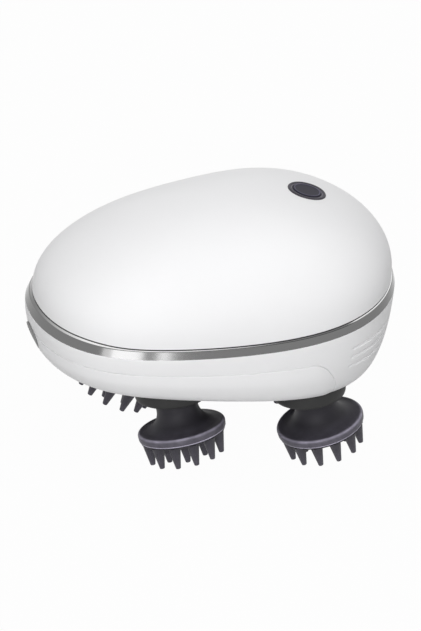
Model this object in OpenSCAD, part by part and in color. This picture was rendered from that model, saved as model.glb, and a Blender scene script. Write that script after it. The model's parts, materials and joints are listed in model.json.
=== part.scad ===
// Handheld scalp massager: an egg-shaped housing carries four geared massage heads.
// Each head hangs on an upright spindle and is tilted on it, so that it kneads as it turns.
// X runs along the body towards the button end, Y runs across it and Z is up.
// The origin is the middle of the plane on which the prong tips stand. Inside the modules z is
// measured from the underside of the base cover, and raised() lifts every piece onto that plane.

/* [Body outline] */
// Length of the body at the top of the metal band
body_l = 124; // [120:1:130]
// Width of the body half way along
body_w = 88; // [86:1:94]
// Share by which the button end is wider than the other end
egg_share = 0.14; // [0.1:0.01:0.16]
// How full both ends are, against a plain ellipse
end_fullness = 0.31; // [0.27:0.01:0.34]
// How much of that fullness leans towards the narrow end
narrow_fullness = 0.12; // [0.1:0.01:0.14]
// Height of the top of the metal band above the underside, half way along
rim_h = 24.2; // [23:0.1:28]
// Rise of the band from the middle to the button end
rim_rise = 7.6; // [5:0.1:9]
// How far both ends of the band curve up
rim_bow = 3.8; // [2:0.1:5]

/* [Top shell] */
// Height of the dome above the band, half way along
dome_h = 34.9; // [33:0.1:38]
// Extra dome height at the button end
dome_lean = 2.3; // [1:0.1:4]
// Loss of dome height at both ends
dome_drop = 7.4; // [6:0.1:8]
// Roundness of the dome, where 2 is an ellipse
dome_power = 2.25; // [2.1:0.01:2.4]
// Wall of the top shell
shell_wall = 2.0; // [1.6:0.1:2.4]

/* [Metal band] */
// Height of the band
band_h = 3.6; // [3:0.1:5]
// How far the lower edge of the band stands out
band_flare = 2.0; // [1:0.1:2.5]
// Wall of the band
band_wall = 1.4; // [1:0.1:1.6]
// Height of the bright bevel along the top of the band
band_bevel = 0.9; // [0.6:0.1:1.2]
// Height of the dark seal between the band and the shell
seal_h = 0.5; // [0.4:0.1:0.8]
// How far the seal lies in from the surface
seal_inset = 0.4; // [0.2:0.1:0.6]

/* [Lower housing] */
// How far the wall curves in from the band to the underside at the button end
base_inset = 9.4; // [8.5:0.1:10]
// Extra inset at the narrow end
narrow_inset = 1.3; // [0.5:0.1:2]
// Roundness of the lower wall, where 2 is an ellipse
base_power = 2.25; // [2.1:0.01:2.5]
// How much less round it is at the narrow end
narrow_power = 0.4; // [0:0.05:0.5]
// Wall of the lower housing
base_wall = 2.2; // [1.8:0.1:2.6]
// Wall of the lip that stands behind the metal band
lip_wall = 1.5; // [1.2:0.1:1.8]
// Width of the flat edge round the base cover
base_edge = 1.8; // [1.4:0.1:2.2]
// How far the side panels stand out
panel_step = 0.6; // [0.3:0.1:0.8]
// Depth of the grip grooves at the button end
groove_depth = 0.6; // [0.3:0.1:0.8]

/* [Base cover] */
// Thickness of the base cover
cover_t = 2.4; // [2:0.1:3]
// Gap round the base cover
cover_gap = 0.2; // [0.1:0.05:0.4]
// Radius of a cover screw
screw_r = 1.3; // [1.1:0.1:1.5]
// Radius of a screw head
screw_head_r = 2.4; // [2:0.1:2.8]
// Height of a screw head
screw_head_h = 1.4; // [1:0.1:1.8]
// Depth to which a screw bites behind the piece it holds
screw_bite = 4; // [3.6:0.1:4.6]
// Radius of a screw boss in the lower housing
boss_r = 3.4; // [3:0.1:4]
// Distance of the screw bosses in from the edge of the underside
boss_inset = 7; // [6.4:0.1:7.6]

/* [Head layout] */
// Place of the narrow-end pair of heads, as a share of half the body length
rear_place = -0.266; // [-0.275:0.001:-0.25]
// Distance of those heads from the middle line, as a share of half the body width
rear_spread = 0.466; // [0.46:0.001:0.49]
// Place of the button-end pair of heads, as a share of half the body length
front_place = 0.524; // [0.51:0.001:0.535]
// Distance of those heads from the middle line, as a share of half the body width
front_spread = 0.523; // [0.505:0.001:0.54]
// Tilt of a head on its spindle
head_tilt = 18.5; // [15:0.5:20]
// Depth below the underside at which the tilted axis meets the spindle
pivot_drop = 2.5; // [2:0.1:3.5]

/* [Massage head] */
// Radius of the head disc
disc_r = 15.4; // [14:0.1:15.8]
// Distance from the pivot to the top edge of the disc
disc_drop = 15; // [14:0.1:16]
// Height of the rim of the disc
rim_t = 3; // [2.4:0.1:3.6]
// Radius of the narrowest part of the neck
neck_r = 7.3; // [6.8:0.1:8]
// Distance from the pivot to the top of the neck, inside the collar
neck_drop = 3.4; // [3:0.1:4]
// Distance from the pivot to where the neck starts to flare
neck_flare_drop = 8.4; // [8:0.1:9]
// Thickness of the prong pad
pad_t = 0.6; // [0.4:0.1:1]
// Distance of the prong pad in from the rim of the disc
pad_inset = 0.5; // [0.4:0.1:0.9]
// Number of prongs in the outer ring
outer_prongs = 12; // [10:1:14]
// Number of prongs in the inner ring
inner_prongs = 6; // [5:1:8]
// Radius of the outer ring of prongs
outer_prong_r = 12.5; // [11.5:0.1:13]
// Radius of the inner ring of prongs
inner_prong_r = 7.2; // [6.8:0.1:8]
// Length of a prong
prong_l = 7.9; // [6:0.1:9]
// Radius of a prong at its foot
prong_foot_r = 2.2; // [1.8:0.1:2.3]
// Radius of a prong at its tip
prong_tip_r = 0.9; // [0.7:0.1:1.1]

/* [Collar] */
// Radius of the collar under the base cover
collar_r = 12.1; // [11.8:0.1:12.4]
// Radius of the lower edge of the collar
collar_edge_r = 12.6; // [12.2:0.1:13]
// Depth of the lower edge of the collar below the underside
collar_drop = 6.8; // [6:0.1:7.2]
// Share of the head's tilt that the lower edge of the collar takes
collar_lean = 0.56; // [0.4:0.01:0.7]
// Wall of the collar
collar_wall = 1.4; // [1:0.1:1.6]
// Gap between the collar and the base cover
collar_gap = 0.4; // [0.3:0.1:0.6]

/* [Spindle and bushes] */
// Radius of a spindle
spindle_r = 3; // [2.5:0.1:3.2]
// Radial clearance of a running fit
run_gap = 0.05; // [0.03:0.01:0.08]
// Radial clearance of a seated fit
seat_gap = 0.02; // [0.01:0.01:0.04]
// Wall of a bush
bush_wall = 2; // [1.6:0.1:2.2]
// Radius of the tilted stub that carries the head
stub_r = 4; // [3.6:0.1:4.4]
// Radius of the thrust flange on a spindle
flange_r = 6; // [5.4:0.1:6.6]

/* [Gear train] */
// Teeth of each head gear
head_teeth = 21; // [20:1:22]
// Teeth of the centre gear
centre_teeth = 33; // [32:1:35]
// Teeth of the drive wheel
wheel_teeth = 45; // [43:1:47]
// Teeth of the motor pinion
pinion_teeth = 15; // [14:1:16]
// Width of the head gears
gear_t = 5; // [4:0.1:5.6]
// Width of the drive wheel
wheel_t = 3; // [2.4:0.1:3.4]
// Gap between the motor pinion and the screw boss in front of it
pinion_gap = 1; // [0.8:0.1:2]
// Play between meshing teeth
backlash = 0.2; // [0.15:0.01:0.3]
// Gap between gears and the plates beside them
gear_gap = 0.8; // [0.6:0.1:1.2]

/* [Gear plate] */
// Thickness of the gear plate
plate_t = 2.6; // [2.2:0.1:3]
// Gap between the gear plate and the housing wall
plate_gap = 2.4; // [2.2:0.1:3]

/* [Motor and battery] */
// Radius of the motor
motor_r = 12.2; // [11:0.1:13]
// Length of the motor can
motor_l = 19; // [16:0.1:20]
// Length of the gearbox under the motor
gearbox_l = 7; // [6:0.1:8]
// Radius of the battery
battery_r = 9.1; // [8.5:0.1:9.5]
// Length of the battery cell
battery_l = 50; // [48:1:58]
// Place of the middle of the battery, as a share of half the body length
battery_place = -0.258; // [-0.27:0.002:-0.246]

/* [Power button] */
// Place of the button, as a share of half the body length
button_place = 0.506; // [0.49:0.001:0.53]
// Outer radius of the bezel
bezel_r = 6.8; // [6.4:0.1:7.2]
// Width of the bezel
bezel_w = 1.1; // [0.9:0.1:1.3]
// Width of the pale ring inside the bezel
ring_w = 0.4; // [0.3:0.1:0.6]
// Gap round the button cap
cap_gap = 0.25; // [0.15:0.05:0.35]
// Travel of the button
button_travel = 0.7; // [0.5:0.1:0.9]
// Depth of the circuit board below the button
board_drop = 10; // [9.6:0.1:11]
// Length of the circuit board
board_l = 40; // [36:1:42]
// Width of the circuit board
board_w = 26; // [24:1:28]

/* [Charging port] */
// Height of the middle of the port
port_z = 7.9; // [7.7:0.1:8.3]
// Half width of the port cover
port_a = 7; // [6.6:0.1:7.6]
// Half height of the port cover
port_b = 4.4; // [4.2:0.1:4.6]
// Thickness of the port cover
port_cover_t = 1.2; // [1:0.1:1.4]
// Gap round the port cover
port_gap = 0.25; // [0.2:0.05:0.35]
// Width of the socket mouth
socket_w = 9; // [8.6:0.1:9.4]
// Height of the socket mouth
socket_h = 3.3; // [3.1:0.1:3.5]

/* [Hidden] */

eps = 0.01;
around = 72;
bush_r = spindle_r + run_gap + bush_wall;

// Cross recess in a screw head
slot_l = screw_head_r * 1.2;
slot_w = 0.6;
slot_deep = 0.8;

half_l = body_l / 2;
half_w = body_w / 2;

// Places of the four heads, and the turn at which each one stands at rest
rear_x = half_l * rear_place;
rear_y = half_w * rear_spread;
front_x = half_l * front_place;
front_y = half_w * front_spread;
fl = [rear_x, -rear_y];
fr = [front_x, -front_y];
rl = [rear_x, rear_y];
rr = [front_x, front_y];
fl_turn = 138;
fr_turn = 172;
rl_turn = -11;
rr_turn = 40;

// Height levels of the gear train, from the base cover up
gear_z = cover_t + gear_gap + bush_wall;
wheel_z = gear_z + gear_t + gear_gap;
plate_z = wheel_z + wheel_t + gear_gap;
plate_top = plate_z + plate_t;

// The centre gear is as far from every head, so that it meshes with all four
centre_x = (front_x * front_x + front_y * front_y - rear_x * rear_x - rear_y * rear_y)
    / (2 * (front_x - rear_x));
mesh_d = norm([front_x - centre_x, front_y]);
head_module = 2 * mesh_d / (head_teeth + centre_teeth);

// Height of a tooth over the pitch circle and its depth under it, in modules
tooth_tip = 0.9;
tooth_root = 1.2;
pressure = 20;

// The pinion fills the room between the drive wheel and the boss at the button end
motor_room = boss_spot(0)[0] - boss_r - pinion_gap - centre_x;
motor_offset = motor_room / (1 + (pinion_teeth + 2 * tooth_tip) / (wheel_teeth + pinion_teeth));
wheel_module = 2 * motor_offset / (wheel_teeth + pinion_teeth);
motor_x = centre_x + motor_offset;
axle_r = 2;
centre_hub_r = 5;
shaft_r = 1.5;
shaft_seat = 4.2;
clip_z = plate_top + 0.4;

// Foot of the metal band, and the gap to the lip behind it
foot_scale = 1 + band_flare / half_l;
foot_shift = band_flare / 2;
lip_gap = 0.1;

// The side panels start this far down the wall, and end round a corner near the button end
panel_top = 0.385;
panel_corner = [50, 66];

// Rows down the wall at which the grip grooves lie, and how far round the end they reach
groove_rows = [0.27, 0.4, 0.54];
groove_half = 0.025;
groove_sweep = 51;

// Screw bosses stand round the underside where the gears leave room
boss_angles = [0, 80, 155, 205, 280];

// The gearbox stands over the first boss, so that one takes no screw from above
plate_angles = [80, 155, 205, 280];

// Webs between the bosses and the wall, and how far their tops lie below the bosses'
web_t = 2;
web_drop = 0.5;

// Motor and battery
motor_screw_y = 10.3;
battery_lift = 2;
battery_button = 1;
battery_x = half_l * battery_place;
battery_z = plate_top + battery_lift + battery_r;
tray_wall = 1.6;
tray_gap = 0.4;

// Height and slope of the dome at the button
button_x = half_l * button_place;
button_z = dome_z(button_x);
button_lean = -atan((dome_z(button_x + 1) - dome_z(button_x - 1)) / 2);

// Circuit board, and the spots of the posts that carry it
board_t = 1.6;
board_shift = -7;
board_inset = 3;
post_r = 2.6;
board_screw_r = 1;
board_screw_head = 1.2;
board_bite = 2;
board_spots = [
    for (sx = [-1, 1], sy = [-1, 1])
    [board_shift + sx * (board_l / 2 - board_inset), sy * (board_w / 2 - board_inset)]
];

// Push switch and button
plunger_r = 1.7;
switch_size = 6;
switch_h = 3.6;
switch_well = 2.9;
plunger_rise = 1.2;
plunger_rest = 0.3;
plunger_l = plunger_rise + switch_well - button_travel - plunger_rest;
plunger_top = board_drop - switch_h - plunger_rise;
cap_r = bezel_r - bezel_w - ring_w - cap_gap;
cap_t = 1.8;
bezel_depth = 4;

// Charging socket, and the floor of the pocket in front of it
socket_l = 7.5;
pocket_depth = 4.4;
socket_x = pocket_depth - half_l;
socket_wall = 0.4;
pocket_floor = 1.8;

// Turn of the outer prongs against the direction of the head's tilt
prong_turn = 13;

// Flat of a prong's rounded tip, and the length over which it rounds off
tip_flat_r = prong_tip_r * 0.6;
tip_round = 0.35;

// The stub ends short of the disc, and the head screw bites into it
stub_short = 1;
head_screw_bite = 6.4;
screw_room = 0.3;

// The flare of the neck meets the disc this far in from its rim
rim_in = 1.1;

// Depth of the prong tips below the underside of the base cover, rounded up to a plain height
low_prong = max([for (i = [0:outer_prongs - 1]) outer_prong_r * cos(prong_turn + i * 360 / outer_prongs)]);
tip_drop = disc_drop + rim_t + pad_t + prong_l - eps;
tip_depth = pivot_drop + (low_prong + tip_flat_r) * sin(head_tilt) + tip_drop * cos(head_tilt);
stand_step = 0.001;
stand_h = ceil(tip_depth / stand_step) * stand_step;

// Sides of the collar, and how far its hole lies below its edge
collar_steps = 30;
grip_drop = 0.3;

// ---- Outline of the body ----

function fullness(c) = 1 + egg_share * c + end_fullness * c * c - narrow_fullness * c * c * c;

// Point of the egg outline at an angle, at a scale s, moved in by d
function egg(angle, s = 1, d = 0) = [
    (half_l * s - d) * cos(angle),
    (half_w * s - d) * sin(angle) * fullness(cos(angle))
];

// Height of the top edge of the band
function rim_z(x) = rim_h + rim_rise * x / half_l + rim_bow * pow(x / half_l, 2);

// Height of the dome above the band, over the middle of the outline
function dome_rise(x) = dome_h + dome_lean * x / half_l - dome_drop * pow(x / half_l, 2);

// Point of the dome: q is 0 at the top and 90 at the rim
function dome(angle, q, d = 0) =
    let(share = pow(sin(q), 2 / dome_power))
    let(xy = egg(angle, 1, d) * share, x = half_l * cos(angle) * share)
    [xy[0], xy[1], rim_z(x) + seal_h + (dome_rise(x) - d) * pow(cos(q), 2 / dome_power)];

function dome_z(x) =
    let(share = abs(x) / half_l)
    rim_z(x) + seal_h + dome_rise(x) * pow(1 - pow(share, dome_power), 1 / dome_power);

// Share of the inset reached at t, where t runs from 0 at the band to 1 at the underside
function tuck(t, power) = 1 - pow(1 - pow(t, power), 1 / power);

function base_scale(angle, t) =
    let(narrow = (1 - cos(angle)) / 2)
    let(inset = (base_inset + narrow_inset * narrow) * tuck(t, base_power - narrow_power * narrow))
    (1 + band_flare / half_l) * (1 - inset / half_l);

function wall_z(angle, t) = (rim_z(half_l * cos(angle)) - band_h) * (1 - t);

function lower(angle, t, d = 0) =
    let(xy = egg(angle, base_scale(angle, t), d))
    [xy[0], xy[1], wall_z(angle, t)];

// Outline of the underside, moved in by d
function base_outline(d) = [for (a = turn_steps(around)) egg(a, base_scale(a, 1), d)];

// Closed skin over rings of points that have the same count; the first ring joins the last
module ring_skin(rings) {
    n = len(rings[0]);
    m = len(rings);
    points = [for (ring = rings) each ring];
    faces = [
        for (j = [0:m - 1], i = [0:n - 1])
        let(a = j * n + i, b = j * n + (i + 1) % n)
        let(c = ((j + 1) % m) * n + (i + 1) % n, e = ((j + 1) % m) * n + i)
        each [[a, b, c], [a, c, e]]
    ];
    polyhedron(points = points, faces = faces);
}

// Closed skin whose first and last rings shrink to one point each
module capped_skin(first_pole, rings, last_pole) {
    n = len(rings[0]);
    m = len(rings);
    points = [first_pole, for (ring = rings) each ring, last_pole];
    faces = [
        for (i = [0:n - 1]) [0, 1 + (i + 1) % n, 1 + i],
        for (j = [0:m - 2], i = [0:n - 1])
        let(a = 1 + j * n + i, b = 1 + j * n + (i + 1) % n)
        let(c = 1 + (j + 1) * n + (i + 1) % n, e = 1 + (j + 1) * n + i)
        each [[a, b, c], [a, c, e]],
        for (i = [0:n - 1]) [1 + m * n, 1 + (m - 1) * n + i, 1 + (m - 1) * n + (i + 1) % n]
    ];
    polyhedron(points = points, faces = faces);
}

function turn_steps(n) = [for (i = [0:n - 1]) i * 360 / n];

// ---- Top shell ----

module dome_skin() {
    outer_q = [8, 17, 26, 35, 44, 53, 62, 70, 77, 83, 87, 90];
    inner_q = [90, 82, 72, 60, 46, 30, 14];
    capped_skin(
        dome(0, 0),
        concat(
            [for (q = outer_q) [for (a = turn_steps(around)) dome(a, q)]],
            [for (q = inner_q) [for (a = turn_steps(around)) dome(a, q, shell_wall)]]
        ),
        dome(0, 0, shell_wall)
    );
}

// Frame that stands square to the dome at the button
module at_button() {
    translate([button_x, 0, button_z]) rotate([0, button_lean, 0]) children();
}

// Share of the outline on which the dome passes over the point x, y
function dome_share(x, y, low, high, tries = 24) =
    let(s = (low + high) / 2, c = x / half_l / s)
    tries == 0 ? s
    : half_w * s * sqrt(1 - c * c) * fullness(c) > abs(y) ? dome_share(x, y, low, s, tries - 1)
    : dome_share(x, y, s, high, tries - 1);

function dome_at(x, y) =
    let(share = dome_share(x, y, abs(x) / half_l, 1))
    rim_z(x) + seal_h + dome_rise(x) * pow(1 - pow(share, dome_power), 1 / dome_power);

// Height of a post that carries the circuit board and ends inside the wall of the shell
function post_h(spot) =
    dome_at(button_x + spot[0], spot[1]) - shell_wall * 0.7
    - (button_z - spot[0] * sin(button_lean) - board_drop * cos(button_lean));

module top_shell() {
    color("white") difference() {
        union() {
            dome_skin();
            at_button() for (spot = board_spots)
                translate([spot[0], spot[1], -board_drop]) cylinder(r = post_r, h = post_h(spot), $fn = 32);
        }
        at_button() at_board_screws() translate([0, 0, -board_drop - 1])
            cylinder(r = board_screw_r, h = board_bite + 1.2, $fn = 24);
        at_button() translate([0, 0, -shell_wall * 3])
            cylinder(r = bezel_r + seat_gap, h = shell_wall * 6, $fn = 64);
    }
}

// ---- Metal band and its seal ----

function rim_ring(s, d, drop) = [
    for (a = turn_steps(around))
    let(xy = egg(a, s, d))
    [xy[0], xy[1], rim_z(half_l * cos(a)) - drop]
];

module shell_seal() {
    color("dimgray") ring_skin([
        rim_ring(1, seal_inset, -seat_gap),
        rim_ring(1, seal_inset, seat_gap - seal_h),
        rim_ring(1, band_wall + lip_wall, seat_gap - seal_h),
        rim_ring(1, band_wall + lip_wall, -seat_gap)
    ]);
}

module metal_band() {
    bevel_scale = 1 + band_flare * 0.5 / half_l;
    color("silver") ring_skin([
        rim_ring(foot_scale, 0, band_h),
        rim_ring(bevel_scale, 0, band_bevel),
        rim_ring(1, 0, 0),
        rim_ring(1, band_wall, 0),
        rim_ring(foot_scale, band_wall + foot_shift, band_h)
    ]);
}

// ---- Lower housing ----

// Angle from the button end, from 0 to 180
function from_front(angle) = angle > 180 ? 360 - angle : angle;

function panel_line(angle) =
    let(k = (panel_corner[1] - from_front(angle)) / (panel_corner[1] - panel_corner[0]))
    k <= 0 ? panel_top : k >= 1 ? 1 : panel_top + (1 - panel_top) * (1 - sqrt(1 - k * k));

function proud(angle, t) =
    t > panel_line(angle) && from_front(angle) > panel_corner[0] ? panel_step : 0;

function groove(angle, t) =
    from_front(angle) < groove_sweep && len([for (g = groove_rows) if (abs(t - g) < eps) g]) > 0
    ? groove_depth : 0;

module lower_skin() {
    rows = [
        0, 0.14,
        for (g = groove_rows) each [g - groove_half, g, g + groove_half],
        0.68, 0.8, 0.89, 0.95, 0.985, 1
    ];
    inner_rows = [0.8, 0.62, 0.4, 0.2];
    ring_skin(concat(
        [for (t = rows) [
            for (a = turn_steps(around)) lower(a, t, groove(a, t) - proud(a, t) * (t == 1 ? 0 : 1))
        ]],
        [
            [for (xy = base_outline(base_edge)) [xy[0], xy[1], 0]],
            [for (xy = base_outline(base_edge)) [xy[0], xy[1], cover_t]]
        ],
        [for (t = inner_rows) [for (a = turn_steps(around)) lower(a, t, base_wall)]],
        [
            [for (a = turn_steps(around)) lower(a, 0.08, band_wall + foot_shift + lip_gap + lip_wall)],
            rim_ring(1, band_wall + lip_gap + lip_wall, lip_gap),
            rim_ring(1, band_wall + lip_gap, lip_gap),
            rim_ring(foot_scale, band_wall + foot_shift + lip_gap, band_h)
        ]
    ));
}

function boss_spot(angle) = egg(angle, base_scale(angle, 1), boss_inset);

module at_bosses(angles = boss_angles) {
    for (angle = angles) translate(boss_spot(angle)) children();
}

// Distance from a boss to the middle of the wall, at the height z
function wall_reach(angle, z) =
    let(t = 1 - z / wall_z(angle, 0))
    let(p = lower(angle, t, base_wall / 2), spot = boss_spot(angle))
    norm([p[0] - spot[0], p[1] - spot[1]]);

// Web that ties a boss to the wall and follows the wall's curve
module boss_web(angle) {
    wall_point = lower(angle, 0.5, base_wall / 2);
    spot = boss_spot(angle);
    turn = atan2(wall_point[1] - spot[1], wall_point[0] - spot[0]);
    foot = cover_t + collar_gap;
    top = plate_z - web_drop;
    heights = [for (share = [0, 0.2, 0.45, 1]) foot + share * (top - foot)];
    translate(spot) rotate(turn) rotate([90, 0, 0]) translate([0, 0, -web_t / 2]) linear_extrude(web_t)
        polygon(concat([[0, top], [0, foot]], [for (z = heights) [wall_reach(angle, z), z]]));
}

// The port is lens-shaped, with a point at each side
function lens_rise(a) = sin(a) * pow(abs(sin(a)), 0.4);

module port_outline(grow) {
    polygon([for (a = turn_steps(40)) [(port_a + grow) * cos(a), (port_b + grow) * lens_rise(a)]]);
}

// Block behind the wall that holds the pocket, and the shelf under the socket
module port_seat() {
    seat_a = port_a + 1.4;
    seat_b = port_b + 0.5;
    back_x = socket_x + pocket_floor;
    heights = [for (k = [-1:0.5:1]) port_z + k * seat_b];
    wall_points = [for (z = heights) [lower(180, 1 - z / wall_z(180, 0), base_wall * 0.9)[0], z]];
    rotate([90, 0, 0]) translate([0, 0, -seat_a]) linear_extrude(2 * seat_a)
        polygon(concat(wall_points, [[back_x, port_z + seat_b], [back_x, port_z - seat_b]]));
    shelf_foot = cover_t + 0.8;
    translate([back_x - lip_gap, -socket_w / 2 - 1, shelf_foot])
        cube([socket_l - 3, socket_w + 2, port_z - socket_h / 2 - lip_gap - shelf_foot]);
}

module lower_housing() {
    color("whitesmoke") difference() {
        union() {
            lower_skin();
            at_bosses() translate([0, 0, cover_t]) cylinder(r = boss_r, h = plate_z - cover_t, $fn = 32);
            for (angle = boss_angles) boss_web(angle);
            port_seat();
        }
        at_bosses() cylinder(r = screw_r, h = plate_z + 1, $fn = 24);
        translate([socket_x, 0, port_z]) rotate([90, 0, -90])
            linear_extrude(2 * socket_l) port_outline(port_gap);
        translate([socket_x - 1, -socket_w / 2 - lip_gap, port_z - socket_h / 2 - lip_gap])
            cube([socket_l, socket_w + 2 * lip_gap, socket_h + 2 * lip_gap]);
    }
}

// ---- Base cover ----

module at_spindles() {
    for (spot = [fl, fr, rl, rr]) translate(spot) children();
}

module base_cover() {
    color("dimgray") difference() {
        linear_extrude(cover_t) polygon(base_outline(base_edge + cover_gap));
        at_spindles() translate([0, 0, -1]) cylinder(r = bush_r + seat_gap, h = cover_t + 2, $fn = 40);
        at_bosses() translate([0, 0, -1]) cylinder(r = screw_r + seat_gap, h = cover_t + 2, $fn = 24);
        at_bosses() translate([0, 0, -eps])
            cylinder(r = screw_head_r + seat_gap, h = screw_head_h + eps, $fn = 32);
    }
}

module screw(l) {
    difference() {
        union() {
            cylinder(r = screw_head_r, h = screw_head_h, $fn = 32);
            cylinder(r = screw_r - seat_gap, h = l, $fn = 24);
        }
        for (a = [0, 90]) rotate(a) translate([-slot_l / 2, -slot_w / 2, -eps])
            cube([slot_l, slot_w, slot_deep]);
    }
}

module cover_screws() {
    color("silver") at_bosses() screw(cover_t + screw_bite);
}

module base_bushes() {
    color("tan") at_spindles() bush(0, gear_z - gear_gap);
}

module bush(z, h) {
    translate([0, 0, z]) difference() {
        cylinder(r = bush_r, h = h, $fn = 40);
        translate([0, 0, -1]) cylinder(r = spindle_r + run_gap, h = h + 2, $fn = 40);
    }
}

// ---- Gear plate ----

// Hole through the gear plate
module plate_hole(r) {
    translate([0, 0, plate_z - 1]) cylinder(r = r, h = plate_t + 2, $fn = 40);
}

module at_motor_screws() {
    for (s = [-1, 1]) translate([motor_x, s * motor_screw_y, 0]) children();
}

module gear_plate() {
    color("gainsboro") difference() {
        translate([0, 0, plate_z]) linear_extrude(plate_t)
            polygon([for (a = turn_steps(around)) egg(a, base_scale(a, 0.5), base_wall + plate_gap)]);
        at_spindles() plate_hole(bush_r + seat_gap);
        at_bosses(plate_angles) plate_hole(screw_r + seat_gap);
        at_motor_screws() plate_hole(screw_r + seat_gap);
        translate([motor_x, 0, 0]) plate_hole(shaft_r + 1);
        translate([centre_x, 0, 0]) plate_hole(axle_r);
    }
}

module plate_bushes() {
    color("tan") at_spindles() bush(plate_z, plate_t);
}

module plate_screws() {
    color("silver") at_bosses(plate_angles) translate([0, 0, plate_top + screw_head_h])
        mirror([0, 0, 1]) screw(screw_head_h + plate_t + screw_bite);
}

module centre_axle() {
    color("silver") translate([centre_x, 0, cover_t]) cylinder(r = axle_r, h = plate_top - cover_t, $fn = 32);
}

// ---- Gears ----

function involute(base, roll) =
    let(arc = roll * PI / 180)
    base * [cos(roll) + arc * sin(roll), sin(roll) - arc * cos(roll)];
function spin(p, a) = [p[0] * cos(a) - p[1] * sin(a), p[0] * sin(a) + p[1] * cos(a)];
function roll_at(base, r) = sqrt(pow(max(r / base, 1), 2) - 1) * 180 / PI;

// Spur gear outline with one tooth centred on the X axis
module gear_outline(teeth, m) {
    pitch_r = m * teeth / 2;
    tip_r = pitch_r + tooth_tip * m;
    root_r = pitch_r - tooth_root * m;
    base = pitch_r * cos(pressure);
    pitch_roll = roll_at(base, pitch_r);
    pitch_point = involute(base, pitch_roll);
    half_tooth = 90 / teeth - backlash / 2 / pitch_r * 180 / PI;
    shift = half_tooth + atan2(pitch_point[1], pitch_point[0]);
    start_r = max(root_r, base);
    rolls = [for (k = [0:3]) roll_at(base, start_r + (tip_r - start_r) * k / 3)];
    flank = [for (roll = rolls) spin(involute(base, roll), -shift)];
    foot_angle = atan2(flank[0][1], flank[0][0]);
    polygon([
        for (i = [0:teeth - 1])
        let(a = i * 360 / teeth)
        each concat(
            [spin([root_r * cos(foot_angle), root_r * sin(foot_angle)], a)],
            [for (p = flank) spin(p, a)],
            [for (k = [3:-1:0]) spin([flank[k][0], -flank[k][1]], a)],
            [spin([root_r * cos(foot_angle), -root_r * sin(foot_angle)], a)]
        )
    ]);
}

// The hub of the centre gear runs down to just above the base cover
module centre_gear() {
    hub_l = gear_z - cover_t - run_gap * 2;
    color("ivory") translate([centre_x, 0, gear_z]) difference() {
        union() {
            linear_extrude(gear_t) gear_outline(centre_teeth, head_module);
            translate([0, 0, -hub_l]) cylinder(r = centre_hub_r, h = gear_t + hub_l, $fn = 40);
        }
        translate([0, 0, -hub_l - 1]) cylinder(r = axle_r + run_gap, h = gear_t + hub_l + 2, $fn = 32);
    }
}

// The drive wheel is lightened by six holes, whose place and radius are shares of its own radius
module drive_wheel() {
    wheel_pitch_r = wheel_module * wheel_teeth / 2;
    wheel_hole_place = 0.636;
    wheel_hole_r = 0.183;
    color("ivory") translate([centre_x, 0, wheel_z]) difference() {
        union() {
            linear_extrude(wheel_t) rotate(180 / wheel_teeth) gear_outline(wheel_teeth, wheel_module);
            translate([0, 0, -gear_gap]) cylinder(r = centre_hub_r, h = wheel_t + gear_gap, $fn = 40);
        }
        translate([0, 0, -gear_gap - 1]) cylinder(r = axle_r + run_gap, h = wheel_t + gear_gap + 2, $fn = 32);
        for (a = [0:60:300]) rotate(a) translate([wheel_hole_place * wheel_pitch_r, 0, -1])
            cylinder(r = wheel_hole_r * wheel_pitch_r, h = wheel_t + 2, $fn = 32);
    }
}

module motor_pinion() {
    color("gold") translate([motor_x, 0, wheel_z]) difference() {
        linear_extrude(wheel_t + gear_gap / 2) rotate(180) gear_outline(pinion_teeth, wheel_module);
        translate([0, 0, -1]) cylinder(r = shaft_r + seat_gap, h = wheel_t + 3, $fn = 32);
    }
}

module output_shaft() {
    foot = wheel_z + run_gap * 4;
    color("silver") translate([motor_x, 0, foot])
        cylinder(r = shaft_r, h = plate_top + shaft_seat - foot, $fn = 32);
}

// Turn that puts a gap of a head gear on the tooth of the centre gear that faces it
function mesh_turn(spot) =
    let(a = atan2(spot[1], spot[0] - centre_x))
    a + 180 + a * centre_teeth / head_teeth + 180 / head_teeth;

module head_gear(spot) {
    hub_foot = run_gap * 2 - gear_gap;
    hub_l = plate_z - gear_z - run_gap * 2 - hub_foot;
    color("ivory") translate([spot[0], spot[1], gear_z]) difference() {
        union() {
            linear_extrude(gear_t) rotate(mesh_turn(spot)) gear_outline(head_teeth, head_module);
            translate([0, 0, hub_foot]) cylinder(r = flange_r, h = hub_l, $fn = 40);
        }
        translate([0, 0, hub_foot - 1]) cylinder(r = spindle_r + seat_gap, h = hub_l + 2, $fn = 40);
    }
}

// ---- Motor, battery and circuit board ----

module motor_gearbox() {
    color("gray") translate([motor_x, 0, plate_top]) difference() {
        cylinder(r = motor_r, h = gearbox_l, $fn = 64);
        translate([0, 0, -1]) cylinder(r = shaft_r + run_gap, h = shaft_seat + 1.8, $fn = 32);
        for (s = [-1, 1]) translate([0, s * motor_screw_y, -1])
            cylinder(r = screw_r, h = screw_bite + 1.4, $fn = 24);
    }
}

module motor() {
    can_r = motor_r - 0.4;
    can_taper = 1.5;
    boss = [3, 1];
    color("silver") translate([motor_x, 0, plate_top + gearbox_l]) rotate_extrude($fn = 64) polygon([
        [0, 0], [can_r, 0], [can_r, motor_l - can_taper], [can_r - can_taper, motor_l],
        [boss[0], motor_l], [boss[0], motor_l + boss[1]], [0, motor_l + boss[1]]
    ]);
}

module motor_screws() {
    color("silver") at_motor_screws() translate([0, 0, plate_z - screw_head_h])
        screw(screw_head_h + plate_t + screw_bite);
}

module battery() {
    color("seagreen") translate([battery_x, 0, battery_z]) rotate([0, 90, 0]) {
        translate([0, 0, -battery_l / 2]) cylinder(r = battery_r, h = battery_l, $fn = 64);
        translate([0, 0, battery_l / 2]) cylinder(r = battery_r / 3, h = battery_button, $fn = 32);
    }
}

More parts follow.
